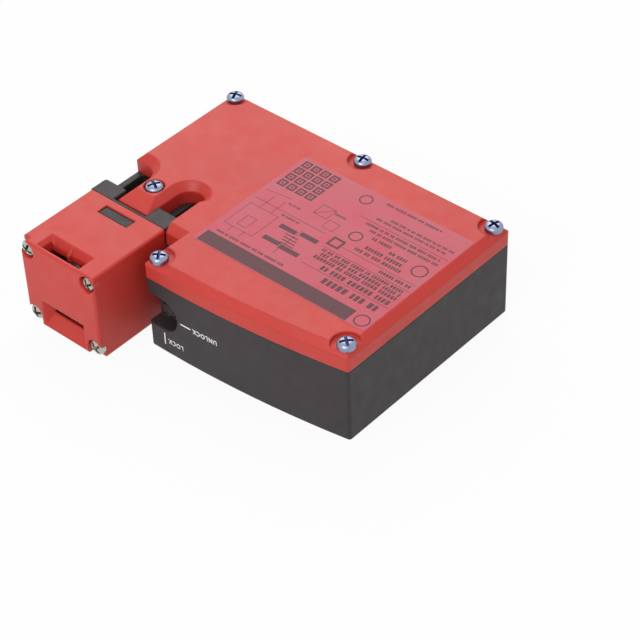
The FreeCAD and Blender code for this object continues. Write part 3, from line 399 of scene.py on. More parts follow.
def filmed(name, tone):
    """Frosted label film with faint pale patches where it has come loose, painted as glints: a painted
    highlight.
    """
    finish = Finish(name)
    haze = finish.noise(HAZE_SIZE, 4)
    lifted_glint = finish.noise(LIFT_GLINT_SIZE, 2, (1, 2.2, 1))
    base = finish.blend(finish.between(haze, 0, 1), shade(tone, 0.94), shade(tone, 1.06))
    # Painted highlight: pale glints where the film has come loose from the cover
    pale = toward(tone, WHITE, 0.3)
    base = finish.blend(finish.between(lifted_glint, 0, 0.5, 0.74, 0.82), base, pale)
    finish.into(
        Base_Color=base,
        Roughness=finish.between(haze, 0.34, 0.48),
        Normal=finish.bump(haze, HAZE_DEPTH, 0.25),
    )
    return finish.material


def printed(name, tone):
    """Screen-printed ink, a little uneven."""
    finish = Finish(name)
    patchy = finish.noise(INK_PATCH_SIZE, 3)
    base = finish.blend(finish.between(patchy, 0, 1), tone, toward(tone, WHITE, 0.03))
    finish.set(Specular_IOR_Level=0.35)
    finish.into(
        Base_Color=base,
        Roughness=finish.between(patchy, 0.42, 0.58),
        Normal=finish.bump(patchy, INK_PATCH_DEPTH, 0.2),
    )
    return finish.material


MADE = {}


def material(kind):
    """The finish of the given kind, made at its first use."""
    if kind not in MADE:
        look = bpy.context.scene.switch_finishes
        dark = tuple(look.dark)
        dim = shade(look.dark, 0.75)
        # Painted shade: a darker copy of the nickel for the head screws' cross recesses
        nickel_shade = shade(look.nickel, 0.5)
        makers = {
            "red": lambda: moulded("red_plastic", tuple(look.red), roughness=0.46, gloss=0.42),
            "dark": lambda: moulded("dark_plastic", dark, roughness=0.5, variation=0.1, gloss=0.32),
            "black": lambda: moulded("black_plastic", dim, roughness=0.48, variation=0.1, gloss=0.32),
            "pale": lambda: moulded("pale_plastic", tuple(look.pale), roughness=0.42),
            "rubber": lambda: rubbery("rubber", tuple(look.rubber)),
            "zinc": lambda: metal("zinc_plate", tuple(look.zinc), roughness=0.32),
            # Painted shade: the two recess finishes colour the screws' cross recesses darker than their
            # plating
            "zinc_recess": lambda: metal("zinc_recess", tuple(look.zinc_shade), roughness=0.5),
            "nickel": lambda: metal("nickel_plate", tuple(look.nickel), roughness=0.3),
            "nickel_recess": lambda: metal("nickel_recess", nickel_shade, roughness=0.5),
            "steel": lambda: metal("steel", tuple(look.steel), roughness=0.34, stretch=(1, 6, 6)),
            "cast": lambda: metal("die_cast_zinc", tuple(look.cast), roughness=0.45, dull=0.7),
            "brass": lambda: metal("brass", tuple(look.brass), roughness=0.3),
            "copper": lambda: wound("copper_winding", tuple(look.copper)),
            "film": lambda: filmed("label_film", tuple(look.film)),
            "ink": lambda: printed("label_ink", tuple(look.ink)),
            "paint": lambda: printed("white_paint", tuple(look.paint)),
        }
        MADE[kind] = makers[kind]()
    return MADE[kind]


def coat(piece, kind):
    """Gives a piece one finish; a new mesh keeps its faces' material numbers."""
    if piece.data.materials:
        piece.data.materials.clear()
    piece.data.materials.append(material(kind))


# Mesh building

def bare_object(name, mesh):
    """Turns a bmesh into an object of the scene."""
    bmesh.ops.recalc_face_normals(mesh, faces=mesh.faces)
    data = bpy.data.meshes.new(name)
    mesh.to_mesh(data)
    mesh.free()
    item = bpy.data.objects.new(name, data)
    bpy.context.scene.collection.objects.link(item)
    return item


def new_piece(name, mesh, kind, body="housing"):
    """Turns a bmesh into a piece of the switch that rides on one of its bodies."""
    piece = bare_object(name, mesh)
    coat(piece, kind)
    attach(piece, body)
    return piece


def red_tool(name, mesh):
    """Turns a bmesh into a body that cuts red plastic or is joined to it."""
    tool = bare_object(name, mesh)
    coat(tool, "red")
    return tool


def welded_copy(name, node, kind):
    """A piece with a node's mesh, its solids welded and its stored normals left out."""
    mesh = bmesh.new()
    mesh.from_mesh(NODES[node].data)
    bmesh.ops.remove_doubles(mesh, verts=mesh.verts, dist=WELD)
    piece = new_piece(name, mesh, kind)
    stored = piece.data.attributes.get("custom_normal")
    if stored:
        piece.data.attributes.remove(stored)
    return piece


def on_cover(u, v):
    """A place on the cover's top: u from its left side, v from its back."""
    return Vector((COVER_LOW.x + u, COVER_HIGH.y - v, COVER_HIGH.z))


def prism(mesh, outline, low, high):
    """A closed slab between two heights over an outline of (x, y) points."""
    base = [mesh.verts.new((x, y, low)) for x, y in outline]
    lid = [mesh.verts.new((x, y, high)) for x, y in outline]
    mesh.faces.new(base[::-1])
    mesh.faces.new(lid)
    count = len(outline)
    for n in range(count):
        after = (n + 1) % count
        mesh.faces.new((base[n], base[after], lid[after], lid[n]))


def rounded_box(left, right, low, high, radius, steps=6):
    """The outline of a rectangle with round corners."""
    outline = []
    corners = ((right, high, 0), (left, high, 90), (left, low, 180), (right, low, 270))
    for x, y, start in corners:
        middle_x = x - math.copysign(radius, x - (left + right) / 2)
        middle_y = y - math.copysign(radius, y - (low + high) / 2)
        for n in range(steps + 1):
            turn = math.radians(start + 90 * n / steps)
            outline.append((middle_x + radius * math.cos(turn), middle_y + radius * math.sin(turn)))
    return outline


def loft(mesh, sections):
    """A closed body through sections with the same number of corners."""
    rings = [[mesh.verts.new(spot) for spot in section] for section in sections]
    for one, after in zip(rings, rings[1:]):
        for n in range(len(one)):
            mesh.faces.new((one[n], one[n - 1], after[n - 1], after[n]))
    mesh.faces.new(rings[0])
    mesh.faces.new(rings[-1][::-1])


def apply_modifiers(piece):
    """Bakes a piece's modifiers into its mesh."""
    graph = bpy.context.evaluated_depsgraph_get()
    data = bpy.data.meshes.new_from_object(piece.evaluated_get(graph))
    piece.modifiers.clear()
    piece.data = data


def carve(piece, tools, operation="DIFFERENCE"):
    """Cuts closed tools out of a piece, or joins them; new faces take the tools' materials."""
    for tool in tools:
        cut = piece.modifiers.new("carve", "BOOLEAN")
        cut.operation = operation
        cut.solver = "EXACT"
        cut.material_mode = "TRANSFER"
        cut.object = tool
        bpy.context.view_layer.update()
        apply_modifiers(piece)
        bpy.data.objects.remove(tool)


# Edges that bend by more than this many degrees stay sharp
CREASE = {"screws": 38, "head": 32, "cover": 15}


def shade_smooth(piece, limit):
    """Smooths the shading across edges below a limit in degrees."""
    for polygon in piece.data.polygons:
        polygon.use_smooth = True
    piece.data.set_sharp_from_angle(angle=math.radians(limit))


# Screws

HEAD_SIDES = 48
SHANK_SIDES = 24
DOME_STEPS = 8

# Power of the crown's curve: a lower one gives a flatter crown
DOME_POWER = 0.75

# Shares of a screw's radius
FOOT_REACH = 0.96
SHANK_TIP = 0.4
SHANK_ROOT = 0.48

# Shares of a screw head's height
FOOT_RISE = 0.04
ARM_LIP = 0.86
ARM_TOP = 1.2

# Floor of a cross arm as a share of its mouth
ARM_FLOOR = 0.45


def screw_head(radius, height, kind):
    """A pan head standing on z = 0 with a cross recess in its domed crown, coloured darker as painted
    shade.
    """
    sizes = bpy.context.scene.switch_screws
    rim = height * sizes.rim
    profile = [(radius * FOOT_REACH, 0.0), (radius, height * FOOT_RISE), (radius, rim)]
    for n in range(1, DOME_STEPS):
        turn = math.radians(90 * n / DOME_STEPS)
        profile.append((radius * math.cos(turn) ** DOME_POWER, rim + (height - rim) * math.sin(turn)))
    mesh = bmesh.new()
    rings = []
    for reach, level in profile:
        ring = []
        for n in range(HEAD_SIDES):
            turn = 2 * math.pi * n / HEAD_SIDES
            ring.append(mesh.verts.new((reach * math.cos(turn), reach * math.sin(turn), level)))
        rings.append(ring)
    for lower, upper in zip(rings, rings[1:]):
        for n in range(HEAD_SIDES):
            after = (n + 1) % HEAD_SIDES
            mesh.faces.new((lower[n], lower[after], upper[after], upper[n]))
    tip = mesh.verts.new((0, 0, height))
    for n in range(HEAD_SIDES):
        mesh.faces.new((rings[-1][n], rings[-1][(n + 1) % HEAD_SIDES], tip))
    mesh.faces.new(rings[0][::-1])
    head = bare_object("screw_head", mesh)
    coat(head, kind)
    arms = []
    for turn in (0, 90):
        arm = cross_arm(radius, height, sizes)
        arm.rotation_euler.z = math.radians(turn)
        # Painted shade: the cuts give the recess faces the darker recess finish
        coat(arm, f"{kind}_recess")
        arms.append(arm)
    carve(head, arms)
    data = head.data
    bpy.data.objects.remove(head)
    return data


def cross_arm(radius, height, sizes):
    """One tapered blade of the cross, standing in the head's crown."""
    half = radius * sizes.arm_reach
    foot = half * ARM_FLOOR
    side = radius * sizes.arm_width
    top = height * ARM_TOP
    lip = height * ARM_LIP
    floor = height * (1 - sizes.depth)
    mesh = bmesh.new()
    outline = [(-half, top), (-half, lip), (-foot, floor), (foot, floor), (half, lip), (half, top)]
    near = [mesh.verts.new((x, -side, z)) for x, z in outline]
    far = [mesh.verts.new((x, side, z)) for x, z in outline]
    mesh.faces.new(near)
    mesh.faces.new(far[::-1])
    for n in range(len(outline)):
        after = (n + 1) % len(outline)
        mesh.faces.new((near[after], near[n], far[n], far[after]))
    return bare_object("cross_arm", mesh)


def solid_boxes(node):
    """The boxes of a node's separate solids, as (lowest, highest) corners."""
    mesh = bmesh.new()
    mesh.from_mesh(NODES[node].data)
    bmesh.ops.remove_doubles(mesh, verts=mesh.verts, dist=WELD)
    found = []
    waiting = set(mesh.verts)
    while waiting:
        island = [waiting.pop()]
        for vert in island:
            for edge in vert.link_edges:
                other = edge.other_vert(vert)
                if other in waiting:
                    waiting.discard(other)
                    island.append(other)
        spots = [vert.co.copy() for vert in island]
        found.append((
            Vector(min(spot[n] for spot in spots) for n in range(3)),
            Vector(max(spot[n] for spot in spots) for n in range(3)),
        ))
    mesh.free()
    return sorted(found, key=lambda box: tuple(round(c, 5) for c in box[0]))


def dress_screws(node, kind, axis, turns, trims):
    """Replaces a node of pan-head screws by detailed heads on plain shanks.

    The turns are the crosses' angles in degrees, and the trims are cut off the heads' radius.
    """
    boxes = solid_boxes(node)
    radius = (boxes[0][1].x - boxes[0][0].x) / 2
    height = radius * bpy.context.scene.switch_screws.height
    heads = {trim: screw_head(radius - trim, height, kind) for trim in dict.fromkeys(trims)}
    mesh = bmesh.new()
    for (low, high), turn, trim in zip(boxes, turns, trims):
        middle = (low + high) / 2
        if axis == "z":
            seat = Vector((middle.x, middle.y, high.z - height))
            stand = Matrix.Identity(4)
            shank_length = high.z - low.z - height
        else:
            seat = Vector((middle.x, low.y + height, middle.z))
            stand = Matrix.Rotation(math.radians(90), 4, "X")
            shank_length = high.y - low.y - height
        place = Matrix.Translation(seat) @ stand @ Matrix.Rotation(math.radians(turn), 4, "Z")
        data = heads[trim].copy()
        data.transform(place)
        mesh.from_mesh(data)
        bpy.data.meshes.remove(data)
        drop = Matrix.Translation((0, 0, -shank_length / 2))
        bmesh.ops.create_cone(
            mesh, cap_ends=True, segments=SHANK_SIDES, radius1=radius * SHANK_TIP,
            radius2=radius * SHANK_ROOT, depth=shank_length, matrix=place @ drop,
        )
    piece = new_piece(f"{node}_detailed", mesh, kind)
    # Painted shade: the second finish colours the cross recesses darker than the plating
    piece.data.materials.append(material(f"{kind}_recess"))
    shade_smooth(piece, CREASE["screws"])
    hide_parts(node)


# Label print

class Print:
    """Flat marks on the label, each a thin closed slab; places and widths are in millimetres."""

    LETTERS = (2, 7)
    LETTER_WIDTHS = (0.4, 0.66)
    LETTER_GAP = 0.24
    WORD_GAP = 0.5
    RING_STEPS = 24

    def __init__(self, low, high):
        self.mesh = bmesh.new()
        self.low = low
        self.high = high

    def slab(self, corners):
        prism(self.mesh, [(spot.x, spot.y) for spot in corners], self.low, self.high)

    def block(self, left, right, back, front):
        corners = ((left, front), (right, front), (right, back), (left, back))
        self.slab([on_cover(u * MM, v * MM) for u, v in corners])

    def line(self, start, stop, width):
        one, other = (on_cover(u * MM, v * MM) for u, v in (start, stop))
        run = (other - one).normalized()
        aside = Vector((-run.y, run.x, 0)) * (width * MM / 2)
        self.slab((one - aside, other - aside, other + aside, one + aside))

    def frame(self, left, right, back, front, width):
        for v in (back, front):
            self.line((left - width / 2, v), (right + width / 2, v), width)
        for u in (left, right):
            self.line((u, back + width / 2), (u, front - width / 2), width)

    def ring(self, u, v, radius, width):
        for n in range(self.RING_STEPS):
            turns = (2 * math.pi * n / self.RING_STEPS, 2 * math.pi * (n + 1) / self.RING_STEPS)
            ends = [(u + radius * math.cos(turn), v + radius * math.sin(turn)) for turn in turns]
            self.line(*ends, width)

    def words(self, rng, left, right, v, height):
        """A row of plain blocks, grouped like words, that stands for a line of small print."""
        u = left
        while u < right:
            for _ in range(rng.randint(*self.LETTERS)):
                wide = height * rng.uniform(*self.LETTER_WIDTHS)
                if u + wide > right:
                    return
                self.block(u, u + wide, v - height / 2, v + height / 2)
                u += wide + height * self.LETTER_GAP
            u += height * self.WORD_GAP


# Height of a capital letter as a share of the font's size
CAP_SHARE = 0.7


def glyphs(text, sizes):
    """The flat mesh of a plain text, centred."""
    curve = bpy.data.curves.new("glyphs", "FONT")
    curve.body = text
    curve.align_x = "CENTER"
    curve.align_y = "CENTER"
    curve.size = sizes.cap_height / CAP_SHARE
    curve.offset = sizes.bold
    curve.space_character = sizes.spacing
    curve.resolution_u = 4
    item = bpy.data.objects.new("glyphs", curve)
    bpy.context.scene.collection.objects.link(item)
    graph = bpy.context.evaluated_depsgraph_get()
    data = bpy.data.meshes.new_from_object(item.evaluated_get(graph))
    data.transform(Matrix.Diagonal((sizes.narrow, 1, 1, 1)))
    bpy.data.objects.remove(item)
    return data


def thicken(mesh, faces, offset):
    """Gives flat faces a thickness along the offset."""
    made = bmesh.ops.extrude_face_region(mesh, geom=faces)["geom"]
    verts = [item for item in made if isinstance(item, bmesh.types.BMVert)]
    bmesh.ops.translate(mesh, verts=verts, vec=offset)


# Operators

class SWITCH_OT_shells(bpy.types.Operator):
    """Finish the moulded shells: base, wheel carrier and override"""

    bl_idname = "switch.shells"
    bl_label = "Moulded shells"

    def execute(self, context):
        coat(NODES["base_housing"], "dark")
        coat(NODES["wheel_carrier"], "black")
        coat(NODES["override_spindle"], "black")
        return {"FINISHED"}


class SWITCH_OT_cover(bpy.types.Operator):
    """Slope the cover's tab and let the chamfer of its right notch fade in"""

    bl_idname = "switch.cover"
    bl_label = "Cover"

    def execute(self, context):
        sizes = context.scene.switch_cover
        head_low, head_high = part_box("head_shell")
        middle = (head_low.x + head_high.x) / 2
        seat = head_high.y
        piece = welded_copy("cover_sloped", "cover", "red")
        carve(piece, [self.tab_cut(sizes, middle, seat + sizes.tab_gap)])
        notch = Vector((middle + sizes.notch_side, seat + sizes.notch_back, 0))
        carve(piece, [self.notch_filling(sizes, notch)], "UNION")
        shade_smooth(piece, CREASE["cover"])
        piece.modifiers.new("flat_faces", "WEIGHTED_NORMAL").keep_sharp = True
        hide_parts("cover")
        return {"FINISHED"}

    def tab_cut(self, sizes, middle, end):
        """What lies above a plane from the tab's top down to the foot of its end chamfer."""
        over = MM
        fall = over * sizes.chamfer / sizes.tab_slope
        foot = COVER_HIGH.z - sizes.chamfer - fall
        crest = COVER_HIGH.z + fall
        sections = []
        for x in (middle - sizes.tab_half, middle + sizes.tab_half):
            sections.append([
                Vector((x, end - over, foot)),
                Vector((x, end + sizes.tab_slope + over, crest)),
                Vector((x, end - over, crest)),
            ])
        mesh = bmesh.new()
        loft(mesh, sections)
        return red_tool("cutting_slope", mesh)

    def notch_filling(self, sizes, notch):
        """A body on the notch's chamfer, full beside the straight edge and fading along the arc."""
        steps = 12
        lead = math.radians(-2)
        least = 0.01 * MM
        top = COVER_HIGH.z
        foot = top - sizes.chamfer
        inner = sizes.notch_radius
        outer = inner + sizes.chamfer
        sink = sizes.sink
        sections = []
        for n in range(steps + 1):
            turn = lead + (sizes.fade - lead) * n / steps
            out = Vector((math.cos(turn), math.sin(turn), 0))
            edge = foot + sizes.chamfer * (1 - n / steps) + least
            profile = (
                (outer, top), (outer + sink, top - sink), (inner + sink, foot - sink), (inner, foot),
                (inner, min(edge, top)),
            )
            sections.append([notch + out * reach + Vector((0, 0, level)) for reach, level in profile])
        mesh = bmesh.new()
        loft(mesh, sections)
        return red_tool("notch_filling", mesh)


class SWITCH_OT_head(bpy.types.Operator):
    """Relieve the key head's corner, widen its slots and close the rim of its upper right screw"""

    bl_idname = "switch.head"
    bl_label = "Key head"

    def execute(self, context):
        sizes = context.scene.switch_head
        low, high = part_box("head_shell")
        piece = welded_copy("head_shell_relieved", "head_shell", "red")
        corner = self.tool(
            (low.x - MM, low.x + sizes.corner_width),
            (low.y - MM, low.y + sizes.corner_depth),
            (high.z - sizes.corner_height, high.z + MM),
        )
        middle = (low.x + high.x) / 2
        gap = self.tool(
            (middle - sizes.gap_width / 2, middle + sizes.gap_width / 2),
            (low.y + sizes.gap_start, low.y + sizes.gap_end),
            (sizes.gap_low, sizes.gap_high),
        )
        strips = [
            self.tool(
                sorted((middle + side * sizes.slit_inner, middle + side * sizes.slit_outer)),
                (low.y + sizes.slit_front, low.y + sizes.slit_back),
                (sizes.slit_low, high.z + MM),
            )
            for side in (-1, 1)
        ]
        carve(piece, [corner, gap, *strips])
        first, last = solid_boxes("head_screws")[-1]
        carve(piece, [self.rim(low, high, sizes, (first + last) / 2)], "UNION")
        shade_smooth(piece, CREASE["head"])
        piece.modifiers.new("flat_faces", "WEIGHTED_NORMAL").keep_sharp = True
        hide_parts("head_shell")
        return {"FINISHED"}

    def tool(self, across, along, up):
        mesh = bmesh.new()
        left, right = across
        front, back = along
        prism(mesh, [(left, front), (right, front), (right, back), (left, back)], *up)
        return red_tool("cutting_block", mesh)

    def rim(self, low, high, sizes, spot):
        """A wall that closes the recess of a screw towards the head's right side."""
        inset = 0.02 * MM
        bond = 0.3 * MM
        steps = 8
        edge = sizes.edge
        inner = high.x - 2 * edge
        back = low.y + sizes.seat + bond
        reach = edge - inset
        outline = [(inner, back), (inner, low.y + inset)]
        for n in range(steps + 1):
            turn = math.radians(-90 + 90 * n / steps)
            outline.append((high.x - edge + reach * math.cos(turn), low.y + edge + reach * math.sin(turn)))
        outline.append((high.x - inset, back))
        mesh = bmesh.new()
        prism(mesh, outline, spot.z - sizes.rim_reach, min(spot.z + sizes.rim_reach, high.z - edge))
        wall = red_tool("rim_wall", mesh)
        bore = sizes.rim_bore
        mesh = bmesh.new()
        stand = Matrix.Translation((spot.x, low.y, spot.z)) @ Matrix.Rotation(math.radians(90), 4, "X")
        bmesh.ops.create_cone(
            mesh, cap_ends=True, segments=HEAD_SIDES, radius1=bore, radius2=bore,
            depth=2 * sizes.seat, matrix=stand,
        )
        carve(wall, [red_tool("cutting_drill", mesh)])
        return wall


class SWITCH_OT_works(bpy.types.Operator):
    """Finish the inner works: wheel, plunger, contacts, bolt, solenoid, springs and terminals"""

    bl_idname = "switch.works"
    bl_label = "Inner works"

    def execute(self, context):
        kinds = {
            "rubber": ("cover_gasket", "neck_gasket", "plunger_seal", "override_seal"),
            "cast": ("key_wheel", "release_carriage"),
            "steel": (
                "wheel_axle", "plunger", "lock_bolt", "armature", "solenoid_yoke", "solenoid_core",
                "bolt_spring", "carrier_spring", "override_clip",
            ),
            "pale": ("contact_block", "contact_lid", "bolt_guide", "solenoid_bobbin", "terminal_block"),
            "black": ("contact_carrier",),
            "brass": ("contact_bridges", "fixed_contacts", "terminal_clamps"),
            "copper": ("solenoid_coil",),
            "zinc": ("terminal_screws",),
        }
        for kind, nodes in kinds.items():
            for node in nodes:
                coat(NODES[node], kind)
        return {"FINISHED"}


COVER_SCREW_TURNS = (20, 64, 35, 8, 50, 77)
HEAD_SCREW_TURNS = (15, 70, 40, 28)


class SWITCH_OT_screws(bpy.types.Operator):
    """Replace the outer screws by pan heads with cross recesses"""

    bl_idname = "switch.screws"
    bl_label = "Outer screws"

    def execute(self, context):
        plain = (0,) * len(COVER_SCREW_TURNS)
        dress_screws("cover_screws", "zinc", "z", COVER_SCREW_TURNS, plain)
        trims = (0, 0, 0, context.scene.switch_head.screw_trim)
        dress_screws("head_screws", "nickel", "y", HEAD_SCREW_TURNS, trims)
        return {"FINISHED"}


class SWITCH_OT_label(bpy.types.Operator):
    """Lay the frosted film on the cover and print plain marks on it"""

    bl_idname = "switch.label"
    bl_label = "Label"

    def execute(self, context):
        sizes = context.scene.switch_label
        top = COVER_HIGH.z
        low = on_cover(sizes.left, sizes.front)
        high = on_cover(sizes.right, sizes.back)
        mesh = bmesh.new()
        outline = rounded_box(low.x, high.x, low.y, high.y, sizes.corner)
        prism(mesh, outline, top - sizes.sink, top + sizes.thick)
        film = new_piece("label_film", mesh, "film")
        edge = film.modifiers.new("edge", "BEVEL")
        edge.width = sizes.thick * sizes.edge
        edge.segments = 1
        edge.limit_method = "ANGLE"
        face = top + sizes.thick
        marks = Print(face - sizes.ink_sink, face + sizes.ink_thick)
        print_label(marks)
        new_piece("label_print", marks.mesh, "ink")
        return {"FINISHED"}


# Layout of the label in millimetres: u from the cover's left side, v from its back

THIN_LINE = 0.16
BOLD_LINE = 0.8
LABEL_SEED = 7
LABEL_BAR = (43.0, 100.2, 57.5, 62.7)

# Rows of small print: v, height, left and right
LABEL_ROWS = (
    (55.9, 0.9, 45, 71), (53.5, 2.4, 84, 106), (49.5, 1.9, 80, 106), (46.9, 1.4, 75, 106),
    (45.0, 1.4, 76, 106), (43.2, 1.2, 75, 106), (40.4, 1.2, 94, 106), (36.9, 1.3, 82, 99),
    (34.6, 1.4, 84, 98), (32.2, 1.3, 91, 98), (30.2, 1.2, 83, 90), (27.9, 1.0, 80, 106),
    (25.9, 1.0, 77, 105), (22.4, 0.9, 78, 104), (20.6, 0.9, 82, 106), (15.2, 0.9, 76, 97),
    (28.4, 0.8, 67, 72), (38.6, 0.8, 55, 62), (33.4, 0.7, 53, 58),
)

# Ruled lines: left and v
LABEL_RULES = ((74, 51.2), (74, 42.0), (78.6, 38.9), (73.3, 24.4))
RULE_END = 106.4

# Rings: u, v and radius
LABEL_RINGS = ((103.0, 33.1, 2.4), (78.6, 32.6, 2.0), (69.8, 17.5, 2.0), (104.0, 59.7, 2.3))
RING_LINE = 0.45

# Tiles: a square group, each tile a frame with a dot in it
TILES_ACROSS = 4
TILE_START = (44.9, 15.9)
TILE_PITCH = 3.7
TILE_HALF = 1.15
TILE_LINE = 0.7
TILE_DOT = 0.4

# Plan of the contacts: frames as left, right, back and front, and leads as two ends
PLAN_FRAMES = (
    (44.0, 55.0, 40.2, 51.8), (47.5, 51.0, 45.2, 50.1), (61.6, 66.6, 27.2, 32.0), (67.8, 71.8, 31.7, 35.4),
)
PLAN_BOLD_FRAME = (74.2, 78.0, 36.8, 40.2)
PLAN_LEADS = (
    ((42.6, 37.2), (71.0, 37.3)), ((43.3, 32.5), (52.4, 31.2)), ((47.6, 33.4), (47.6, 40.2)),
    ((47.6, 51.8), (47.6, 54.4)), ((52.0, 33.4), (52.0, 40.2)), ((52.0, 51.8), (52.0, 54.4)),
    ((64.8, 40.4), (64.8, 48.9)), ((64.8, 50.9), (64.8, 53.6)), ((61.6, 32.0), (66.6, 27.2)),
)

# Travel bars of the plan: left, right and v
PLAN_BARS = ((57.9, 64.2, 42.6), (65.3, 71.8, 41.8), (57.5, 63.8, 49.4), (64.1, 71.5, 49.9))
BAR_HALF = 0.9

# Coil of the plan: slanting strokes from a first one
COIL_STROKES = 4
COIL_START = (61.6, 44.5)
COIL_STEP = (0.5, 1.3)
COIL_WIDTH = 5.0
COIL_LINE = 0.4


def print_label(marks):
    """A plain layout: a bar, ruled rows, tiles, rings and a plan of the contacts."""
    rng = random.Random(LABEL_SEED)
    marks.block(*LABEL_BAR)
    for v, height, left, right in LABEL_ROWS:
        marks.words(rng, left, right, v, height)
    for left, v in LABEL_RULES:
        marks.line((left, v), (RULE_END, v), THIN_LINE)
    for u, v, radius in LABEL_RINGS:
        marks.ring(u, v, radius, RING_LINE)
    for column in range(TILES_ACROSS):
        for row in range(TILES_ACROSS):
            print_tile(marks, TILE_START[0] + TILE_PITCH * column, TILE_START[1] + TILE_PITCH * row)
    print_plan(marks)


def print_tile(marks, u, v):
    """A small square with a dot in it."""
    marks.frame(u - TILE_HALF, u + TILE_HALF, v - TILE_HALF, v + TILE_HALF, TILE_LINE)
    marks.block(u - TILE_DOT, u + TILE_DOT, v - TILE_DOT, v + TILE_DOT)


def print_plan(marks):
    """A plain plan of the contacts: boxes, leads, travel bars and a coil."""
    for box in PLAN_FRAMES:
        marks.frame(*box, THIN_LINE)
    marks.frame(*PLAN_BOLD_FRAME, BOLD_LINE)
    for start, stop in PLAN_LEADS:
        marks.line(start, stop, THIN_LINE)
    for left, right, v in PLAN_BARS:
        marks.block(left, right, v - BAR_HALF, v + BAR_HALF)
    for n in range(COIL_STROKES):
        left = COIL_START[0] + COIL_STEP[0] * n
        v = COIL_START[1] + COIL_STEP[1] * n
        marks.line((left, v), (left + COIL_WIDTH, v), COIL_LINE)


class SWITCH_OT_marks(bpy.types.Operator):
    """Paint the two position marks and their words beside the override"""

    bl_idname = "switch.marks"
    bl_label = "Position marks"

    def execute(self, context):
        sizes = context.scene.switch_marks
        post_x = COVER_LOW.x + sizes.post
        post_z = (SPINDLE_LOW.z + SPINDLE_HIGH.z) / 2
        half = sizes.line_width / 2
        mesh = bmesh.new()
        self.bar(mesh, post_x + sizes.side_start, post_x + sizes.side_end, post_z - half, post_z + half)
        self.bar(mesh, post_x - half, post_x + half, sizes.foot_start, sizes.foot_end)
        self.word(mesh, "UNLOCK", sizes, post_x + sizes.side_word, post_z - sizes.side_drop)
        self.word(mesh, "LOCK", sizes, post_x + sizes.foot_word, sizes.foot_level)
        self.lay_on_wall(mesh, sizes.thick)
        new_piece("position_marks", mesh, "paint")
        return {"FINISHED"}

    def bar(self, mesh, left, right, low, high):
        spots = ((left, low), (right, low), (right, high), (left, high))
        mesh.faces.new([mesh.verts.new((x, 0, z)) for x, z in spots])

    def word(self, mesh, text, sizes, x, z):
        """Adds a word that reads with the cover's back edge up."""
        data = glyphs(text, sizes)
        stand = Matrix.Rotation(math.radians(90), 4, "X") @ Matrix.Rotation(math.pi, 4, "Z")
        data.transform(Matrix.Translation((x, 0, z)) @ stand)
        mesh.from_mesh(data)
        bpy.data.meshes.remove(data)

    def lay_on_wall(self, mesh, thick):
        """Presses flat marks on to the bowed front wall and gives them a thickness."""
        wall = NODES["base_housing"]
        clear = 1.0
        bmesh.ops.remove_doubles(mesh, verts=mesh.verts, dist=WELD)
        for vert in mesh.verts:
            start = Vector((vert.co.x, BASE_LOW.y - clear, vert.co.z))
            hit, spot, _, _ = wall.ray_cast(start, Vector((0, 1, 0)))
            if not hit:
                raise RuntimeError("a position mark misses the front wall")
            vert.co.y = spot.y + thick / 2
        thicken(mesh, list(mesh.faces), Vector((0, -thick * 1.5, 0)))


class SWITCH_OT_threads(bpy.types.Operator):
    """Turn a thread into each cable entry of the back wall"""

    bl_idname = "switch.threads"
    bl_label = "Cable entry threads"

    def execute(self, context):
        sizes = context.scene.switch_threads
        mesh = bmesh.new()
        for n in range(2):
            across = COVER_LOW.x + sizes.across + n * sizes.spacing
            self.helix(mesh, sizes, Vector((across, BASE_HIGH.y - sizes.lead_in, sizes.level)))
        new_piece("entry_threads", mesh, "dark")
        return {"FINISHED"}

    def helix(self, mesh, sizes, mouth):
        """A closed ridge that winds inward from the mouth of an entry."""
        steps = 40
        root = sizes.radius + sizes.bite
        half = sizes.pitch * sizes.flank
        section = ((root, -half), (sizes.radius - sizes.ridge, 0), (root, half))
        rings = []
        for n in range(int(steps * sizes.run / sizes.pitch) - steps):
            turn = 2 * math.pi * n / steps
            depth = half + sizes.pitch * n / steps
            across, up = math.cos(turn), math.sin(turn)
            rings.append([
                mouth + Vector((reach * across, -depth - along, reach * up)) for reach, along in section
            ])
        loft(mesh, rings)


SENSOR_WIDTH = 36


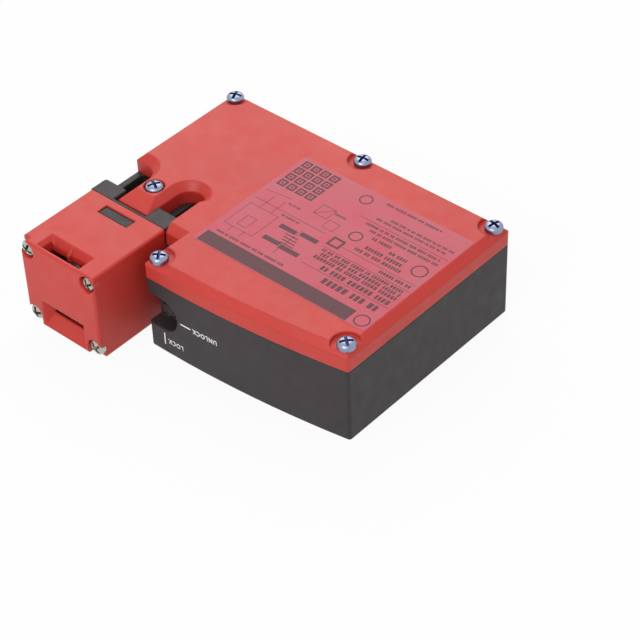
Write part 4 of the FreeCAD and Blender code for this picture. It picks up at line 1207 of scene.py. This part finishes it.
class SWITCH_OT_stage(bpy.types.Operator):
    """Set the floor, the light and the camera"""

    bl_idname = "switch.stage"
    bl_label = "Studio"

    def execute(self, context):
        sizes = context.scene.switch_stage
        context.scene.view_settings.view_transform = "Standard"
        self.floor(sizes)
        self.sky(context, sizes)
        self.lamp("front_light", place=(0.12, -0.62, 0.72), size=0.6, power=3.3)
        self.lamp("back_light", place=(-0.5, 0.55, 0.66), size=0.9, power=3.5)
        self.camera(context, sizes)
        return {"FINISHED"}

    def seen_directly(self, tree):
        """A value of 1 for rays that carry the background's look, and 0 for light."""
        path = tree.nodes.new("ShaderNodeLightPath")
        total = path.outputs["Is Camera Ray"]
        for name in ("Is Glossy Ray", "Is Transmission Ray"):
            most = tree.nodes.new("ShaderNodeMath")
            most.operation = "MAXIMUM"
            tree.links.new(total, most.inputs[0])
            tree.links.new(path.outputs[name], most.inputs[1])
            total = most.outputs[0]
        return total

    def floor(self, sizes):
        """White paper under the switch, which the camera sees almost as plain white."""
        mesh = bmesh.new()
        bmesh.ops.create_grid(mesh, x_segments=1, y_segments=1, size=sizes.floor_reach)
        plane = bare_object("studio_floor", mesh)
        plane.location.z = -sizes.floor_drop
        finish = bpy.data.materials.new("studio_floor")
        finish.use_nodes = True
        tree = finish.node_tree
        tree.nodes.clear()
        paper = tree.nodes.new("ShaderNodeBsdfDiffuse")
        paper.inputs["Color"].default_value = (*(sizes.floor_tone,) * 3, 1)
        white = tree.nodes.new("ShaderNodeEmission")
        mix = tree.nodes.new("ShaderNodeMixShader")
        lift = tree.nodes.new("ShaderNodeMath")
        lift.operation = "MULTIPLY"
        lift.inputs[1].default_value = sizes.floor_lift
        tree.links.new(self.seen_directly(tree), lift.inputs[0])
        tree.links.new(lift.outputs[0], mix.inputs["Fac"])
        tree.links.new(paper.outputs[0], mix.inputs[1])
        tree.links.new(white.outputs[0], mix.inputs[2])
        output = tree.nodes.new("ShaderNodeOutputMaterial")
        tree.links.new(mix.outputs[0], output.inputs["Surface"])
        plane.data.materials.append(finish)

    def sky(self, context, sizes):
        """Even light from all round, seen as plain white."""
        world = bpy.data.worlds.new("studio_sky")
        context.scene.world = world
        world.use_nodes = True
        tree = world.node_tree
        tree.nodes.clear()
        light = tree.nodes.new("ShaderNodeBackground")
        light.inputs["Strength"].default_value = sizes.sky
        white = tree.nodes.new("ShaderNodeBackground")
        mix = tree.nodes.new("ShaderNodeMixShader")
        output = tree.nodes.new("ShaderNodeOutputWorld")
        for background in (light, white):
            background.inputs["Color"].default_value = (1, 1, 1, 1)
        tree.links.new(self.seen_directly(tree), mix.inputs["Fac"])
        tree.links.new(light.outputs[0], mix.inputs[1])
        tree.links.new(white.outputs[0], mix.inputs[2])
        tree.links.new(mix.outputs[0], output.inputs["Surface"])

    def lamp(self, name, place, size, power):
        """A round soft light that points at the switch; place and size are in metres."""
        data = bpy.data.lights.new(name, "AREA")
        data.shape = "DISK"
        data.size = size
        data.energy = power
        item = bpy.data.objects.new(name, data)
        item.location = place
        item.rotation_mode = "QUATERNION"
        item.rotation_quaternion = (-Vector(place)).to_track_quat("-Z", "Y")
        bpy.context.scene.collection.objects.link(item)

    def camera(self, context, sizes):
        data = bpy.data.cameras.new("camera")
        data.sensor_width = SENSOR_WIDTH
        data.lens = sizes.lens
        data.clip_start = 0.01
        item = bpy.data.objects.new("camera", data)
        flat = math.cos(sizes.elevation)
        back = Vector((
            math.sin(sizes.azimuth) * flat, -math.cos(sizes.azimuth) * flat, math.sin(sizes.elevation)
        ))
        item.location = Vector(sizes.aim) + back * sizes.distance
        level = (-back).to_track_quat("-Z", "Y")
        item.rotation_mode = "QUATERNION"
        item.rotation_quaternion = level @ Matrix.Rotation(sizes.roll, 3, "Z").to_quaternion()
        context.scene.collection.objects.link(item)
        context.scene.camera = item


STEPS = (
    SWITCH_OT_shells, SWITCH_OT_cover, SWITCH_OT_head, SWITCH_OT_works, SWITCH_OT_screws,
    SWITCH_OT_label, SWITCH_OT_marks, SWITCH_OT_threads, SWITCH_OT_stage,
)
GROUPS = {
    "switch_finishes": SwitchFinishes,
    "switch_screws": SwitchScrews,
    "switch_cover": SwitchCover,
    "switch_head": SwitchHead,
    "switch_threads": SwitchThreads,
    "switch_label": SwitchLabel,
    "switch_marks": SwitchMarks,
    "switch_stage": SwitchStage,
}


class SWITCH_PT_sidebar(bpy.types.Panel):
    """Lists the steps that dress the switch and the sizes that they use"""

    bl_label = "Guard lock switch"
    bl_space_type = "VIEW_3D"
    bl_region_type = "UI"
    bl_category = "Switch"

    def draw(self, context):
        for step in STEPS:
            self.layout.operator(step.bl_idname)
        for name, group in GROUPS.items():
            box = self.layout.box()
            for key in group.__annotations__:
                box.prop(getattr(context.scene, name), key)


def register():
    for item in (*GROUPS.values(), *STEPS, SWITCH_PT_sidebar):
        bpy.utils.register_class(item)
    for name, group in GROUPS.items():
        setattr(bpy.types.Scene, name, PointerProperty(type=group))


def unregister():
    for name in GROUPS:
        delattr(bpy.types.Scene, name)
    for item in (SWITCH_PT_sidebar, *reversed(STEPS), *GROUPS.values()):
        bpy.utils.unregister_class(item)


def main():
    register()
    for step in STEPS:
        group, name = step.bl_idname.split(".")
        getattr(getattr(bpy.ops, group), name)()


if __name__ == "__main__":
    main()
